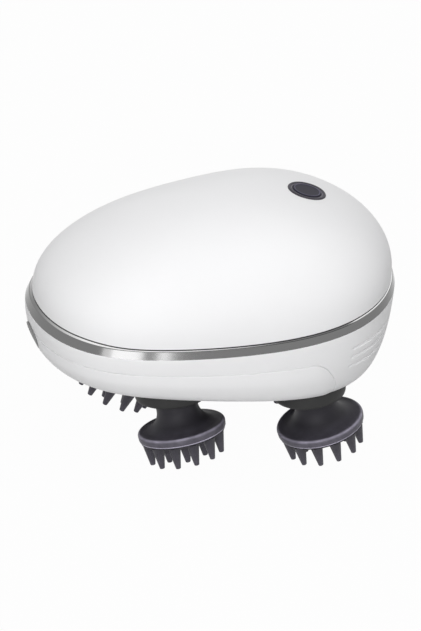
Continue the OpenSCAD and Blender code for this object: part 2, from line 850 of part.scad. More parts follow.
module battery_tray() {
    tray_w = 2 * (battery_r + tray_gap + tray_wall);
    tray_len = battery_l + 2 * (battery_button + tray_gap + tray_wall);
    color("gray") difference() {
        translate([battery_x - tray_len / 2, -tray_w / 2, plate_top])
            cube([tray_len, tray_w, battery_r + battery_lift]);
        translate([battery_x - tray_len / 2 + tray_wall, 0, battery_z]) rotate([0, 90, 0])
            cylinder(r = battery_r + tray_gap, h = tray_len - 2 * tray_wall, $fn = 64);
    }
}

module at_board_screws() {
    for (spot = board_spots) translate(spot) children();
}

module circuit_board() {
    color("green") at_button() difference() {
        translate([board_shift - board_l / 2, -board_w / 2, -board_drop - board_t])
            cube([board_l, board_w, board_t]);
        at_board_screws() translate([0, 0, -board_drop - board_t - 1])
            cylinder(r = board_screw_r + 0.1, h = board_t + 2, $fn = 24);
    }
}

module board_screws() {
    head_z = -board_drop - board_t - board_screw_head;
    color("silver") at_button() at_board_screws() translate([0, 0, head_z]) {
        cylinder(r = 2 * board_screw_r, h = board_screw_head, $fn = 32);
        cylinder(r = board_screw_r - seat_gap, h = board_screw_head + board_t + board_bite, $fn = 24);
    }
}

module push_switch() {
    color("black") at_button() difference() {
        translate([-switch_size / 2, -switch_size / 2, -board_drop])
            cube([switch_size, switch_size, switch_h]);
        translate([0, 0, -board_drop + switch_h - switch_well])
            cylinder(r = plunger_r + run_gap, h = switch_h, $fn = 32);
    }
}

module switch_plunger() {
    color("white") at_button() translate([0, 0, -plunger_top - plunger_l])
        cylinder(r = plunger_r, h = plunger_l, $fn = 32);
}

module button_cap() {
    color("slategray") at_button() {
        rotate_extrude($fn = 64) polygon([
            [0, 0.35], [cap_r - 0.5, 0.25], [cap_r, -0.1], [cap_r, -cap_t], [1.6, -cap_t],
            [1.6, -plunger_top], [0, -plunger_top]
        ]);
    }
}

module button_bezel() {
    color("dimgray") at_button() rotate_extrude($fn = 64) polygon([
        [bezel_r - bezel_w, 0.1], [bezel_r - 0.3, 0.2], [bezel_r, -0.1], [bezel_r, -bezel_depth],
        [bezel_r - bezel_w - ring_w, -bezel_depth], [bezel_r - bezel_w - ring_w, -cap_t],
        [bezel_r - bezel_w, -cap_t]
    ]);
}

module button_ring() {
    color("lightgray") at_button() rotate_extrude($fn = 64) polygon([
        [bezel_r - bezel_w - ring_w, -cap_t], [bezel_r - bezel_w - seat_gap, -cap_t],
        [bezel_r - bezel_w - seat_gap, 0], [bezel_r - bezel_w - ring_w, -0.05]
    ]);
}

// ---- Charging port ----

module charge_socket() {
    color("silver") translate([socket_x, 0, port_z]) difference() {
        translate([0, -socket_w / 2, -socket_h / 2]) cube([socket_l, socket_w, socket_h]);
        translate([-eps, -socket_w / 2 + socket_wall, -socket_h / 2 + socket_wall])
            cube([socket_l - 1, socket_w - 2 * socket_wall, socket_h - 2 * socket_wall]);
    }
}

// The cover follows the wall of the lower housing, between two depths under its surface
module port_cover() {
    rings = [0.35, 0.7, 1];
    steps = 32;
    t_mid = 1 - port_z / (rim_z(-half_l) - band_h);
    t_half = port_b / (rim_z(-half_l) - band_h);
    y_per_degree = lower(180 - 1, t_mid)[1];
    function cover_point(a, share, d) =
        let(angle = 180 - port_a * share * cos(a) / y_per_degree)
        lower(angle, t_mid - t_half * share * lens_rise(a), d - panel_step);
    color("darkgray") capped_skin(
        cover_point(0, 0, 0),
        concat(
            [for (share = rings) [for (a = turn_steps(steps)) cover_point(a, share, 0)]],
            [for (k = [2:-1:0]) [for (a = turn_steps(steps)) cover_point(a, rings[k], port_cover_t)]]
        ),
        cover_point(0, 0, port_cover_t)
    );
}

// ---- Massage heads ----

// Frame of a head: the origin is the pivot and Z runs down the tilted axis of the head
module at_head(spot, turn) {
    translate([spot[0], spot[1], -pivot_drop]) rotate(turn) rotate([0, head_tilt, 0]) mirror([0, 0, 1])
        children();
}

module spindle(spot, turn) {
    stub_l = disc_drop - stub_short;
    trim = 4 * flange_r;
    color("lightsteelblue") {
        translate([spot[0], spot[1], -pivot_drop]) {
            cylinder(r = spindle_r, h = plate_top + 2 + pivot_drop, $fn = 40);
            cylinder(r = flange_r, h = pivot_drop - collar_gap, $fn = 40);
        }
        difference() {
            at_head(spot, turn) cylinder(r = stub_r, h = stub_l, $fn = 40);
            at_head(spot, turn) translate([0, 0, stub_l - head_screw_bite - 0.6])
                cylinder(r = screw_r, h = head_screw_bite + 2, $fn = 24);
            translate([spot[0] - trim / 2, spot[1] - trim / 2, -pivot_drop + eps]) cube([trim, trim, trim]);
        }
    }
}

module clip(spot) {
    color("dimgray") translate([spot[0], spot[1], clip_z]) difference() {
        cylinder(r = spindle_r + 1.6, h = 0.8, $fn = 40);
        translate([0, 0, -1]) cylinder(r = spindle_r + seat_gap, h = 3, $fn = 40);
    }
}

// Ring of the collar: it turns from level at the top to the lean of the head lower down
function collar_ring(spot, turn, r, z, lean) = [
    for (a = turn_steps(collar_steps))
    [spot[0] + r * cos(a), spot[1] + r * sin(a), z - r * cos(a - turn) * tan(lean)]
];

// Ring square to the tilted axis of a head, at the distance l from the pivot
function head_ring(spot, turn, l, r) = [
    for (a = turn_steps(collar_steps))
    let(across = r * sin(a - turn), along = r * cos(a - turn))
    let(u = along * cos(head_tilt) - l * sin(head_tilt))
    [
        spot[0] + u * cos(turn) - across * sin(turn),
        spot[1] + u * sin(turn) + across * cos(turn),
        -pivot_drop - along * sin(head_tilt) - l * cos(head_tilt)
    ]
];

// The collar is level at the base cover, leans lower down and grips the neck with its hole
module collar(spot, turn) {
    lean = head_tilt * collar_lean;
    grip_l = (collar_drop + collar_wall + grip_drop - pivot_drop) / cos(head_tilt);
    hole_r = (neck_r + seat_gap) / cos(180 / collar_steps);
    color("darkslategray") ring_skin([
        collar_ring(spot, turn, collar_r, -collar_gap, 0),
        collar_ring(spot, turn, collar_edge_r, -collar_drop * 0.35, lean * 0.3),
        collar_ring(spot, turn, collar_edge_r, -collar_drop * 0.85, lean * 0.9),
        collar_ring(spot, turn, collar_edge_r - 0.4, -collar_drop, lean),
        collar_ring(spot, turn, collar_edge_r - 1.4, -collar_drop - 0.4, lean),
        head_ring(spot, turn, grip_l, hole_r),
        head_ring(spot, turn, grip_l - collar_wall, hole_r),
        collar_ring(spot, turn, collar_edge_r - 1 - collar_wall, -collar_drop + 0.8, lean),
        collar_ring(spot, turn, collar_r - collar_wall, -collar_gap, 0)
    ]);
}

// Neck and disc: the neck flares out in a quarter ellipse to the disc. The stub stands in the bore,
// and the head screw pulls the step at its end against the stub.
module massage_head(spot, turn) {
    flare_w = disc_r - rim_in - neck_r;
    flare_h = disc_drop - neck_flare_drop;
    stub_end = disc_drop - stub_short;
    bottom = disc_drop + rim_t;
    color("slategray") at_head(spot, turn) rotate_extrude($fn = 64) polygon(concat(
        [[stub_r + seat_gap, neck_drop], [neck_r, neck_drop]],
        [for (a = [0:15:90]) [neck_r + flare_w * (1 - cos(a)), neck_flare_drop + flare_h * sin(a)]],
        [
            [disc_r - 0.3, disc_drop + 0.4], [disc_r, disc_drop + 1], [disc_r - 0.1, bottom - 0.5],
            [disc_r - 0.5, bottom], [screw_head_r + screw_room, bottom],
            [screw_head_r + screw_room, bottom - screw_head_h], [screw_r + seat_gap, bottom - screw_head_h],
            [screw_r + seat_gap, stub_end], [stub_r + seat_gap, stub_end]
        ]
    ));
}

module prong() {
    rotate_extrude($fn = 24) polygon([
        [0, 0], [prong_foot_r, 0], [prong_tip_r, prong_l - tip_round], [tip_flat_r, prong_l], [0, prong_l]
    ]);
}

module prong_pad(spot, turn) {
    foot_z = disc_drop + rim_t + pad_t - eps;
    color("darkslategray") at_head(spot, turn) difference() {
        union() {
            translate([0, 0, disc_drop + rim_t]) cylinder(r = disc_r - pad_inset, h = pad_t, $fn = 64);
            for (i = [0:outer_prongs - 1]) rotate(prong_turn + i * 360 / outer_prongs)
                translate([outer_prong_r, 0, foot_z]) prong();
            for (i = [0:inner_prongs - 1]) rotate(i * 360 / inner_prongs)
                translate([inner_prong_r, 0, foot_z]) prong();
        }
        translate([0, 0, disc_drop]) cylinder(r = screw_head_r + screw_room, h = tip_drop, $fn = 32);
    }
}

module head_screw(spot, turn) {
    seat = disc_drop + rim_t - screw_head_h;
    color("silver") at_head(spot, turn) translate([0, 0, seat + screw_head_h]) mirror([0, 0, 1])
        screw(screw_head_h + seat - disc_drop + stub_short + head_screw_bite);
}

// Lifts a piece so that the prong tips stand at z = 0
module raised() {
    translate([0, 0, stand_h]) children();
}

raised() top_shell();
raised() shell_seal();
raised() metal_band();
raised() lower_housing();
raised() base_cover();
raised() cover_screws();
raised() base_bushes();
raised() gear_plate();
raised() plate_bushes();
raised() plate_screws();
raised() centre_axle();
raised() motor();
raised() motor_gearbox();
raised() motor_screws();
raised() battery();
raised() battery_tray();
raised() circuit_board();
raised() board_screws();
raised() push_switch();
raised() button_bezel();
raised() button_ring();
raised() charge_socket();
raised() centre_gear();
raised() drive_wheel();
raised() motor_pinion();
raised() output_shaft();
raised() button_cap();
raised() switch_plunger();
raised() port_cover();
raised() spindle(fl, fl_turn);  // spindle_fl
raised() head_gear(fl);  // head_gear_fl
raised() clip(fl);  // clip_fl
raised() collar(fl, fl_turn);  // collar_fl
raised() massage_head(fl, fl_turn);  // massage_head_fl
raised() prong_pad(fl, fl_turn);  // prong_pad_fl
raised() head_screw(fl, fl_turn);  // head_screw_fl
raised() spindle(fr, fr_turn);  // spindle_fr
raised() head_gear(fr);  // head_gear_fr
raised() clip(fr);  // clip_fr
raised() collar(fr, fr_turn);  // collar_fr
raised() massage_head(fr, fr_turn);  // massage_head_fr
raised() prong_pad(fr, fr_turn);  // prong_pad_fr
raised() head_screw(fr, fr_turn);  // head_screw_fr
raised() spindle(rl, rl_turn);  // spindle_rl
raised() head_gear(rl);  // head_gear_rl
raised() clip(rl);  // clip_rl
raised() collar(rl, rl_turn);  // collar_rl
raised() massage_head(rl, rl_turn);  // massage_head_rl
raised() prong_pad(rl, rl_turn);  // prong_pad_rl
raised() head_screw(rl, rl_turn);  // head_screw_rl
raised() spindle(rr, rr_turn);  // spindle_rr
raised() head_gear(rr);  // head_gear_rr
raised() clip(rr);  // clip_rr
raised() collar(rr, rr_turn);  // collar_rr
raised() massage_head(rr, rr_turn);  // massage_head_rr
raised() prong_pad(rr, rr_turn);  // prong_pad_rr
raised() head_screw(rr, rr_turn);  // head_screw_rr
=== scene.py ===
import json
from math import atan, copysign, cos, pi, radians, sin, tan

import bmesh
import bpy
from mathutils import Matrix, Vector


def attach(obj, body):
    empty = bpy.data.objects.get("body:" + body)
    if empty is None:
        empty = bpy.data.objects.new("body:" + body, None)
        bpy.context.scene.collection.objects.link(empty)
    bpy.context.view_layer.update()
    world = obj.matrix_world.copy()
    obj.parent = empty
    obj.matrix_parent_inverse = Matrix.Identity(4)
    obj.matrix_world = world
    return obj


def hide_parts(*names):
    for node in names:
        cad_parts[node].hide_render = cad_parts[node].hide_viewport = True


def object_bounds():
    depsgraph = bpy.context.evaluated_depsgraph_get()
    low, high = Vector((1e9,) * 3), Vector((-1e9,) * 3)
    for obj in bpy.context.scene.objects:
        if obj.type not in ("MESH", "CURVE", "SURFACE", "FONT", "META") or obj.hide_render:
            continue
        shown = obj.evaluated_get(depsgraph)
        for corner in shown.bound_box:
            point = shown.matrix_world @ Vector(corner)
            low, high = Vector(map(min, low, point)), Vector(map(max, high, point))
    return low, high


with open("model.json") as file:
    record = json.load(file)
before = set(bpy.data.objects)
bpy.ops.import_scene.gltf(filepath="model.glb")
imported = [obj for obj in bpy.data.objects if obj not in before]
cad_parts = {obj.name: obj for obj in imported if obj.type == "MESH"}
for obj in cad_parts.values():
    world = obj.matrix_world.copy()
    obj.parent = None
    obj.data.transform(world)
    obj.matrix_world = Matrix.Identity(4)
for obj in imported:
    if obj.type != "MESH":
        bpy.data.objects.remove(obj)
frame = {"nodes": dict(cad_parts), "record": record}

# Sizes are in metres and angles in degrees.
# X runs towards the button end, Y across the body and Z up.

cad_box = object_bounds()

# The body's heights are taken from the underside of the base cover, which is this far above the floor
STAND = 0.031658

# Body outline
BODY_L = 0.124
BODY_W = 0.088
EGG_SHARE = 0.14
END_FULLNESS = 0.31
NARROW_FULLNESS = 0.12
RIM_H = 0.0242
RIM_RISE = 0.0076
RIM_BOW = 0.0038
HALF_L = BODY_L / 2
HALF_W = BODY_W / 2

# Top shell
DOME_H = 0.0349
DOME_LEAN = 0.0023
DOME_DROP = 0.0074
DOME_POWER = 2.25
SHELL_WALL = 0.002

# Metal band and seal
BAND_H = 0.0036
BAND_FLARE = 0.002
BAND_WALL = 0.0014
BAND_BEVEL = 0.0009
# Share of the bevel that carries a painted highlight, the seam below it, and how the painted highlight fades round
# the narrow end
BEVEL_HIGHLIGHT = 0.6
HIGHLIGHT_SEAM = 0.03
HIGHLIGHT_FADE = 34
HIGHLIGHT_POWER = 1.6
SHELL_LIP = 0.00045
LIP_FADE = (125, 150)
SEAL_H = 0.0005
SEAL_INSET = 0.0004

# Lower housing
BASE_INSET = 0.0094
NARROW_INSET = 0.0013
BASE_POWER = 2.25
NARROW_POWER = 0.4
BASE_WALL = 0.0022
LIP_WALL = 0.0015
LIP_GAP = 0.0001
BASE_EDGE = 0.0018
COVER_T = 0.0024
PANEL_STEP = 0.0006
PANEL_TOP = 0.355
PANEL_CORNER = (50.5, 66)
PANEL_CURVE = 1.6
PANEL_SWELL = 0.3
PANEL_FOOT = 0.985
CREASE_DEPTH = 0.00035
CREASE_HALF = 0.011
CREASE_STEP = 0.004
GROOVE_DEPTH = 0.0006
GROOVE_ROWS = (0.27, 0.4, 0.54)
GROOVE_HALF = 0.025
GROOVE_SWEEP = 52

# Massage heads: place of the spindle and turn at rest
REAR_X, REAR_Y = -0.266 * HALF_L, 0.466 * HALF_W
FRONT_X, FRONT_Y = 0.524 * HALF_L, 0.523 * HALF_W
HEADS = {
    "fl": (REAR_X, -REAR_Y, 138),
    "fr": (FRONT_X, -FRONT_Y, 172),
    "rl": (REAR_X, REAR_Y, -11),
    "rr": (FRONT_X, FRONT_Y, 40),
}
HEAD_TILT = 18.5
PIVOT_DROP = 0.0025
DISC_R = 0.0154
DISC_DROP = 0.015
RIM_T = 0.003
RIM_ROUND = 0.0011
NECK_R = 0.0073
NECK_DROP = 0.0034
NECK_FLARE_DROP = 0.0084
STUB_BORE = 0.00402
STUB_SHORT = 0.001
SCREW_BORE = 0.00132
SCREW_RECESS = (0.0027, 0.0014)
PAD_T = 0.0006
PAD_INSET = 0.0005
PAD_WELL_R = 0.0027
OUTER_PRONGS = 12
INNER_PRONGS = 6
OUTER_PRONG_R = 0.0125
INNER_PRONG_R = 0.0072
PRONG_TURN = 13
PRONG_L = 0.0079
PRONG_FOOT_R = 0.0022
PRONG_TIP_R = 0.0009
PRONG_ROUND = 0.00035
FILLET = 0.0002

# How pale the rubber is painted as highlight: down the disc to the foot of its rim, and down a prong
DISC_HIGHLIGHT = (0.01, 0.02, 0.03, 0.035, 0.04, 0.045, 0.055, 0.065, 0.14, 0.34, 0.45, 0.32, 0.18, 0.13, 0.13)
PRONG_HIGHLIGHT = (0.03, 0.04, 0.09, 0.11, 0.11, 0.11)

# Collars
COLLAR_R = 0.0121
COLLAR_EDGE_R = 0.0126
COLLAR_DROP = 0.0068
COLLAR_LEAN = 0.56
COLLAR_WALL = 0.0014
COLLAR_GAP = 0.0004
GRIP_DROP = 0.0003
SEAT_GAP = 0.00002

# Power button
BUTTON_X = 0.506 * HALF_L
BEZEL_R = 0.0068
BEZEL_W = 0.0011
RING_W = 0.0004
CAP_GAP = 0.00025
CAP_T = 0.0018
CAP_RIDGE_R = 0.0045
BEZEL_DEPTH = 0.004

# Charging port
PORT_Z = 0.0079
PORT_A = 0.007
PORT_B = 0.0044
PORT_COVER_T = 0.0012
PORT_GAP = 0.00025
PORT_DISH = 0.0003
SOCKET_X = -HALF_L + 0.0044
SOCKET_L = 0.0075
SOCKET_W = 0.009
SOCKET_H = 0.0033
SOCKET_WALL = 0.0004
SEAT_T = 0.0018
TONGUE = (0.006, 0.0067, 0.0007)
TONGUE_BACK = 0.0039
TONGUE_EDGE = 0.0002

# Points round the body
AROUND = 216


# ---- Shape of the body ----

def fullness(c):
    """Width of the outline against an ellipse, from the cosine of the angle."""
    return 1 + EGG_SHARE * c + END_FULLNESS * c ** 2 - NARROW_FULLNESS * c ** 3


def egg(angle, scale=1.0, inset=0.0):
    """Point of the egg outline at an angle."""
    c, s = cos(radians(angle)), sin(radians(angle))
    return (HALF_L * scale - inset) * c, (HALF_W * scale - inset) * s * fullness(c)


def rim_z(x):
    """Height of the rim between shell and band."""
    return RIM_H + RIM_RISE * x / HALF_L + RIM_BOW * (x / HALF_L) ** 2


def dome_rise(x):
    """Height of the dome over the rim."""
    return DOME_H + DOME_LEAN * x / HALF_L - DOME_DROP * (x / HALF_L) ** 2


def from_button_end(angle):
    return min(angle % 360, 360 - angle % 360)


def smooth(low, high, value):
    """0 below low, 1 above high and an even blend between."""
    k = min(max((value - low) / (high - low), 0.0), 1.0)
    return k * k * (3 - 2 * k)


def lip(angle):
    """How far the shell's edge comes out and down over the bevel, which is all bare round the narrow end."""
    return SHELL_LIP * (1 - smooth(*LIP_FADE, from_button_end(angle)))


def bevel_highlight(angle):
    """How strong the painted highlight on the band's bevel is, which fades out round the narrow end."""
    return min(max((180 - from_button_end(angle)) / HIGHLIGHT_FADE, 0.0), 1.0) ** HIGHLIGHT_POWER


def dome(angle, q, inset=0.0):
    """Point of the dome, with q from 0 at the top to 90 at the rim."""
    share = max(sin(radians(q)), 0.0) ** (2 / DOME_POWER)
    height = max(cos(radians(q)), 0.0) ** (2 / DOME_POWER)
    edge = lip(angle) * smooth(60, 90, q)
    x, y = egg(angle, 1, inset - edge)
    out_x = HALF_L * cos(radians(angle)) * share
    return x * share, y * share, rim_z(out_x) + SEAL_H + (dome_rise(out_x) - inset) * height - edge


def dome_z(x):
    """Height of the dome along its middle line."""
    share = (1 - (abs(x) / HALF_L) ** DOME_POWER) ** (1 / DOME_POWER)
    return rim_z(x) + SEAL_H + dome_rise(x) * share


def tuck(t, power):
    """How far the lower wall has come in, from 0 at the band to 1 at the underside."""
    return 1 - max(1 - t ** power, 0.0) ** (1 / power)


def base_scale(angle, t):
    """Size of the egg outline down the lower wall, which comes in further at the narrow end."""
    narrow = (1 - cos(radians(angle))) / 2
    inset = (BASE_INSET + NARROW_INSET * narrow) * tuck(t, BASE_POWER - NARROW_POWER * narrow)
    return (1 + BAND_FLARE / HALF_L) * (1 - inset / HALF_L)


def lower(angle, t, inset=0.0):
    """Point of the lower wall, with t from 0 at the band to 1 at the underside."""
    x, y = egg(angle, base_scale(angle, t), inset)
    return x, y, (rim_z(HALF_L * cos(radians(angle))) - BAND_H) * (1 - t)


def panel_line(angle):
    """How far down the wall the side panel starts."""
    k = (PANEL_CORNER[1] - from_button_end(angle)) / (PANEL_CORNER[1] - PANEL_CORNER[0])
    return PANEL_TOP + (1 - PANEL_TOP) * min(max(k, 0.0), 1.0) ** PANEL_CURVE


def proud(angle, t):
    """How far the side panel swells out below its edge."""
    return PANEL_STEP * smooth(0, PANEL_SWELL, t - panel_line(angle)) * (1 - smooth(PANEL_FOOT, 1.0, t))


def crease(angle, t):
    """Depth of the fine line along the edge of the side panel."""
    side = smooth(PANEL_CORNER[0], PANEL_CORNER[0] + 2, from_button_end(angle))
    return CREASE_DEPTH * side * (1 - smooth(0, CREASE_HALF, abs(t - panel_line(angle))))


def groove(angle, t):
    """Depth of the grip grooves."""
    end = 1 - smooth(GROOVE_SWEEP - 3, GROOVE_SWEEP, from_button_end(angle))
    cut = max(1 - smooth(0, GROOVE_HALF, abs(t - row)) for row in GROOVE_ROWS)
    return GROOVE_DEPTH * cut * end


# ---- Modelling helpers ----

def deselect():
    if bpy.context.object and bpy.context.object.mode != "OBJECT":
        bpy.ops.object.mode_set(mode="OBJECT")
    bpy.ops.object.select_all(action="DESELECT")


def loft(name, rings, closed=False, painted_highlight=None):
    """Skin over rings of points, extruded ring by ring from a circle; a closed skin joins its ends.

    Painted highlight gives how pale the rings of some numbers are painted as highlight, as one value or one for
    each point.
    """
    painted_highlight = painted_highlight or {}
    last = len(rings)

    def mark(number, point):
        value = painted_highlight.get(number % last, 0.0)
        return value[point] if isinstance(value, list) else value

    rings = list(rings) + ([rings[0]] if closed else [])
    deselect()
    bpy.ops.mesh.primitive_circle_add(vertices=len(rings[0]), radius=1)
    piece = bpy.context.object
    piece.name = piece.data.name = name
    bpy.ops.object.mode_set(mode="EDIT")
    mesh = bmesh.from_edit_mesh(piece.data)
    marks = mesh.verts.layers.float.new("painted_highlight")
    mesh.verts.index_update()
    point_of = {v.index: v.index for v in mesh.verts}
    for vert in mesh.verts:
        vert.co = rings[0][vert.index]
        vert[marks] = mark(0, vert.index)
    bmesh.update_edit_mesh(piece.data)
    for number, ring in enumerate(rings[1:], 1):
        bpy.ops.mesh.extrude_edges_move(TRANSFORM_OT_translate={"value": (0, 0, 0)})
        mesh = bmesh.from_edit_mesh(piece.data)
        marks = mesh.verts.layers.float["painted_highlight"]
        mesh.verts.index_update()
        fresh = {}
        for vert in [v for v in mesh.verts if v.select]:
            for edge in vert.link_edges:
                other = edge.other_vert(vert)
                if not other.select and other.index in point_of:
                    fresh[vert.index] = point_of[other.index]
            vert.co = ring[fresh[vert.index]]
            vert[marks] = mark(number, fresh[vert.index])
        point_of = fresh
        bmesh.update_edit_mesh(piece.data)
    bpy.ops.mesh.select_all(action="SELECT")
    bpy.ops.mesh.remove_doubles(threshold=1e-7)
    bpy.ops.mesh.normals_make_consistent(inside=False)
    bpy.ops.object.mode_set(mode="OBJECT")
    return piece


def round_ring(radius, z, steps):
    return [(radius * cos(2 * pi * i / steps), radius * sin(2 * pi * i / steps), z) for i in range(steps)]


def lathe(name, profile, steps=96, closed=True, painted_highlight=None):
    """Turned piece round Z from (radius, height) points."""
    return loft(name, [round_ring(r, z, steps) for r, z in profile], closed, painted_highlight)


def settle(piece, matrix):
    """Puts a piece at its place and leaves the place in its mesh."""
    deselect()
    piece.select_set(True)
    bpy.context.view_layer.objects.active = piece
    piece.matrix_world = matrix @ piece.matrix_world
    bpy.ops.object.transform_apply(location=True, rotation=True, scale=True)


def carve(piece, other, operation, name):
    """Cuts another piece out of a piece or adds it, and removes the other."""
    deselect()
    piece.select_set(True)
    bpy.context.view_layer.objects.active = piece
    change = piece.modifiers.new(name, "BOOLEAN")
    change.object, change.operation, change.solver = other, operation, "EXACT"
    bpy.ops.object.modifier_apply(modifier=change.name)
    bpy.data.objects.remove(other)


def shade(piece, angle=40):
    deselect()
    piece.select_set(True)
    bpy.context.view_layer.objects.active = piece
    bpy.ops.object.shade_smooth_by_angle(angle=radians(angle))


def dress(piece, body, node, slot):
    """Finishes a piece: it is raised, rides on its body, stands for its node and takes its finish."""
    settle(piece, Matrix.Translation((0, 0, STAND)))
    piece.data.materials.clear()
    piece.data.materials.append(FINISHES[slot])
    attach(piece, body)
    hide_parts(node)
    return piece


def head_matrix(x, y, turn):
    """Frame of a head: the origin is the pivot and -Z runs down the tilted axis."""
    place = Matrix.Translation((x, y, -PIVOT_DROP))
    return place @ Matrix.Rotation(radians(turn), 4, "Z") @ Matrix.Rotation(radians(HEAD_TILT), 4, "Y")


def button_matrix():
    step = 0.001
    slope = (dome_z(BUTTON_X + step) - dome_z(BUTTON_X - step)) / (2 * step)
    place = Matrix.Translation((BUTTON_X, 0, dome_z(BUTTON_X)))
    return place @ Matrix.Rotation(-atan(slope), 4, "Y")


# ---- Finishes ----

def add_socket(group, name, way, kind, value=None):
    socket = group.interface.new_socket(name=name, in_out=way, socket_type=kind)
    if value is not None:
        socket.default_value = value


def grain_group():
    """Fine surface grain: a height for the bump and a soft mask for colour and gloss."""
    group = bpy.data.node_groups.new("moulded_grain", "ShaderNodeTree")
    add_socket(group, "Vector", "INPUT", "NodeSocketVector")
    add_socket(group, "Grain Scale", "INPUT", "NodeSocketFloat", 900.0)
    add_socket(group, "Cloud Scale", "INPUT", "NodeSocketFloat", 40.0)
    add_socket(group, "Height", "OUTPUT", "NodeSocketFloat")
    add_socket(group, "Cloud", "OUTPUT", "NodeSocketFloat")
    nodes, link = group.nodes, group.links.new
    start, end = nodes.new("NodeGroupInput"), nodes.new("NodeGroupOutput")
    grain, cloud = nodes.new("ShaderNodeTexNoise"), nodes.new("ShaderNodeTexNoise")
    grain.inputs["Detail"].default_value = 3
    cloud.inputs["Detail"].default_value = 2
    for texture, scale in ((grain, "Grain Scale"), (cloud, "Cloud Scale")):
        link(start.outputs["Vector"], texture.inputs["Vector"])
        link(start.outputs[scale], texture.inputs["Scale"])
    link(grain.outputs["Fac"], end.inputs["Height"])
    link(cloud.outputs["Fac"], end.inputs["Cloud"])
    return group


def highlight_mask_group():
    """Painted highlights: an uneven mask from the highlight marks of a piece."""
    group = bpy.data.node_groups.new("painted_highlight_edge", "ShaderNodeTree")
    add_socket(group, "Vector", "INPUT", "NodeSocketVector")
    add_socket(group, "Marks", "INPUT", "NodeSocketFloat", 0.0)
    add_socket(group, "Patch Scale", "INPUT", "NodeSocketFloat", 300.0)
    add_socket(group, "Least", "INPUT", "NodeSocketFloat", 0.6)
    add_socket(group, "Mask", "OUTPUT", "NodeSocketFloat")
    nodes, link = group.nodes, group.links.new
    start, end = nodes.new("NodeGroupInput"), nodes.new("NodeGroupOutput")
    patches, spread = nodes.new("ShaderNodeTexNoise"), nodes.new("ShaderNodeMapRange")
    product = nodes.new("ShaderNodeMath")
    patches.inputs["Detail"].default_value = 2
    spread.inputs["From Min"].default_value, spread.inputs["From Max"].default_value = 0.3, 0.7
    spread.inputs["To Max"].default_value = 1.0
    product.operation = "MULTIPLY"
    link(start.outputs["Vector"], patches.inputs["Vector"])
    link(start.outputs["Patch Scale"], patches.inputs["Scale"])
    link(start.outputs["Least"], spread.inputs["To Min"])
    link(patches.outputs["Fac"], spread.inputs["Value"])
    link(spread.outputs["Result"], product.inputs[0])
    link(start.outputs["Marks"], product.inputs[1])
    link(product.outputs["Value"], end.inputs["Mask"])
    return group


GRAIN = grain_group()
HIGHLIGHT_MASK_GROUP = highlight_mask_group()


def finish(name, dark, light, rough, grain_scale, bump, metallic=0.0, stretch=(1, 1, 1),
           coat=0.0, specular=0.5, painted_highlight=None, least=0.6):
    """Material with grain: colour runs from dark to light and roughness over its range with the cloud mask.

    A pale colour, painted as highlight, shows where the edges of a piece are marked, and least says how even it
    is.
    """
    material = bpy.data.materials.new(name)
    material.use_nodes = True
    nodes, link = material.node_tree.nodes, material.node_tree.links.new
    shader = nodes["Principled BSDF"]
    shader.inputs["Metallic"].default_value = metallic
    shader.inputs["Specular IOR Level"].default_value = specular
    shader.inputs["Coat Weight"].default_value = coat
    shader.inputs["Coat Roughness"].default_value = 0.12
    where, mapping = nodes.new("ShaderNodeTexCoord"), nodes.new("ShaderNodeMapping")
    mapping.inputs["Scale"].default_value = stretch
    grain = nodes.new("ShaderNodeGroup")
    grain.node_tree = GRAIN
    grain.inputs["Grain Scale"].default_value = grain_scale
    tint = nodes.new("ShaderNodeMix")
    tint.data_type = "RGBA"
    tint.inputs["A"].default_value = (*dark, 1)
    tint.inputs["B"].default_value = (*light, 1)
    gloss = nodes.new("ShaderNodeMapRange")
    gloss.inputs["To Min"].default_value, gloss.inputs["To Max"].default_value = rough
    relief = nodes.new("ShaderNodeBump")
    relief.inputs["Strength"].default_value = bump
    relief.inputs["Distance"].default_value = 0.0001
    link(where.outputs["Object"], mapping.inputs["Vector"])
    link(mapping.outputs["Vector"], grain.inputs["Vector"])
    link(grain.outputs["Cloud"], tint.inputs["Factor"])
    link(grain.outputs["Cloud"], gloss.inputs["Value"])
    link(grain.outputs["Height"], relief.inputs["Height"])
    colour = tint.outputs["Result"]
    if painted_highlight:
        marks, highlight_node = nodes.new("ShaderNodeAttribute"), nodes.new("ShaderNodeGroup")
        pale = nodes.new("ShaderNodeMix")
        marks.attribute_name = "painted_highlight"
        highlight_node.node_tree = HIGHLIGHT_MASK_GROUP
        highlight_node.inputs["Least"].default_value = least
        pale.data_type = "RGBA"
        pale.inputs["B"].default_value = (*painted_highlight, 1)
        link(where.outputs["Object"], highlight_node.inputs["Vector"])
        link(marks.outputs["Fac"], highlight_node.inputs["Marks"])
        link(highlight_node.outputs["Mask"], pale.inputs["Factor"])
        link(colour, pale.inputs["A"])
        colour = pale.outputs["Result"]
    link(colour, shader.inputs["Base Color"])
    link(gloss.outputs["Result"], shader.inputs["Roughness"])
    link(relief.outputs["Normal"], shader.inputs["Normal"])
    return material


def grey(value, tint=(1.0, 1.0, 1.0)):
    return tuple(value * t for t in tint)


COOL = (0.99, 0.99, 1.0)
SLATE = (1.0, 0.94, 1.17)
INK = (0.96, 0.92, 1.35)

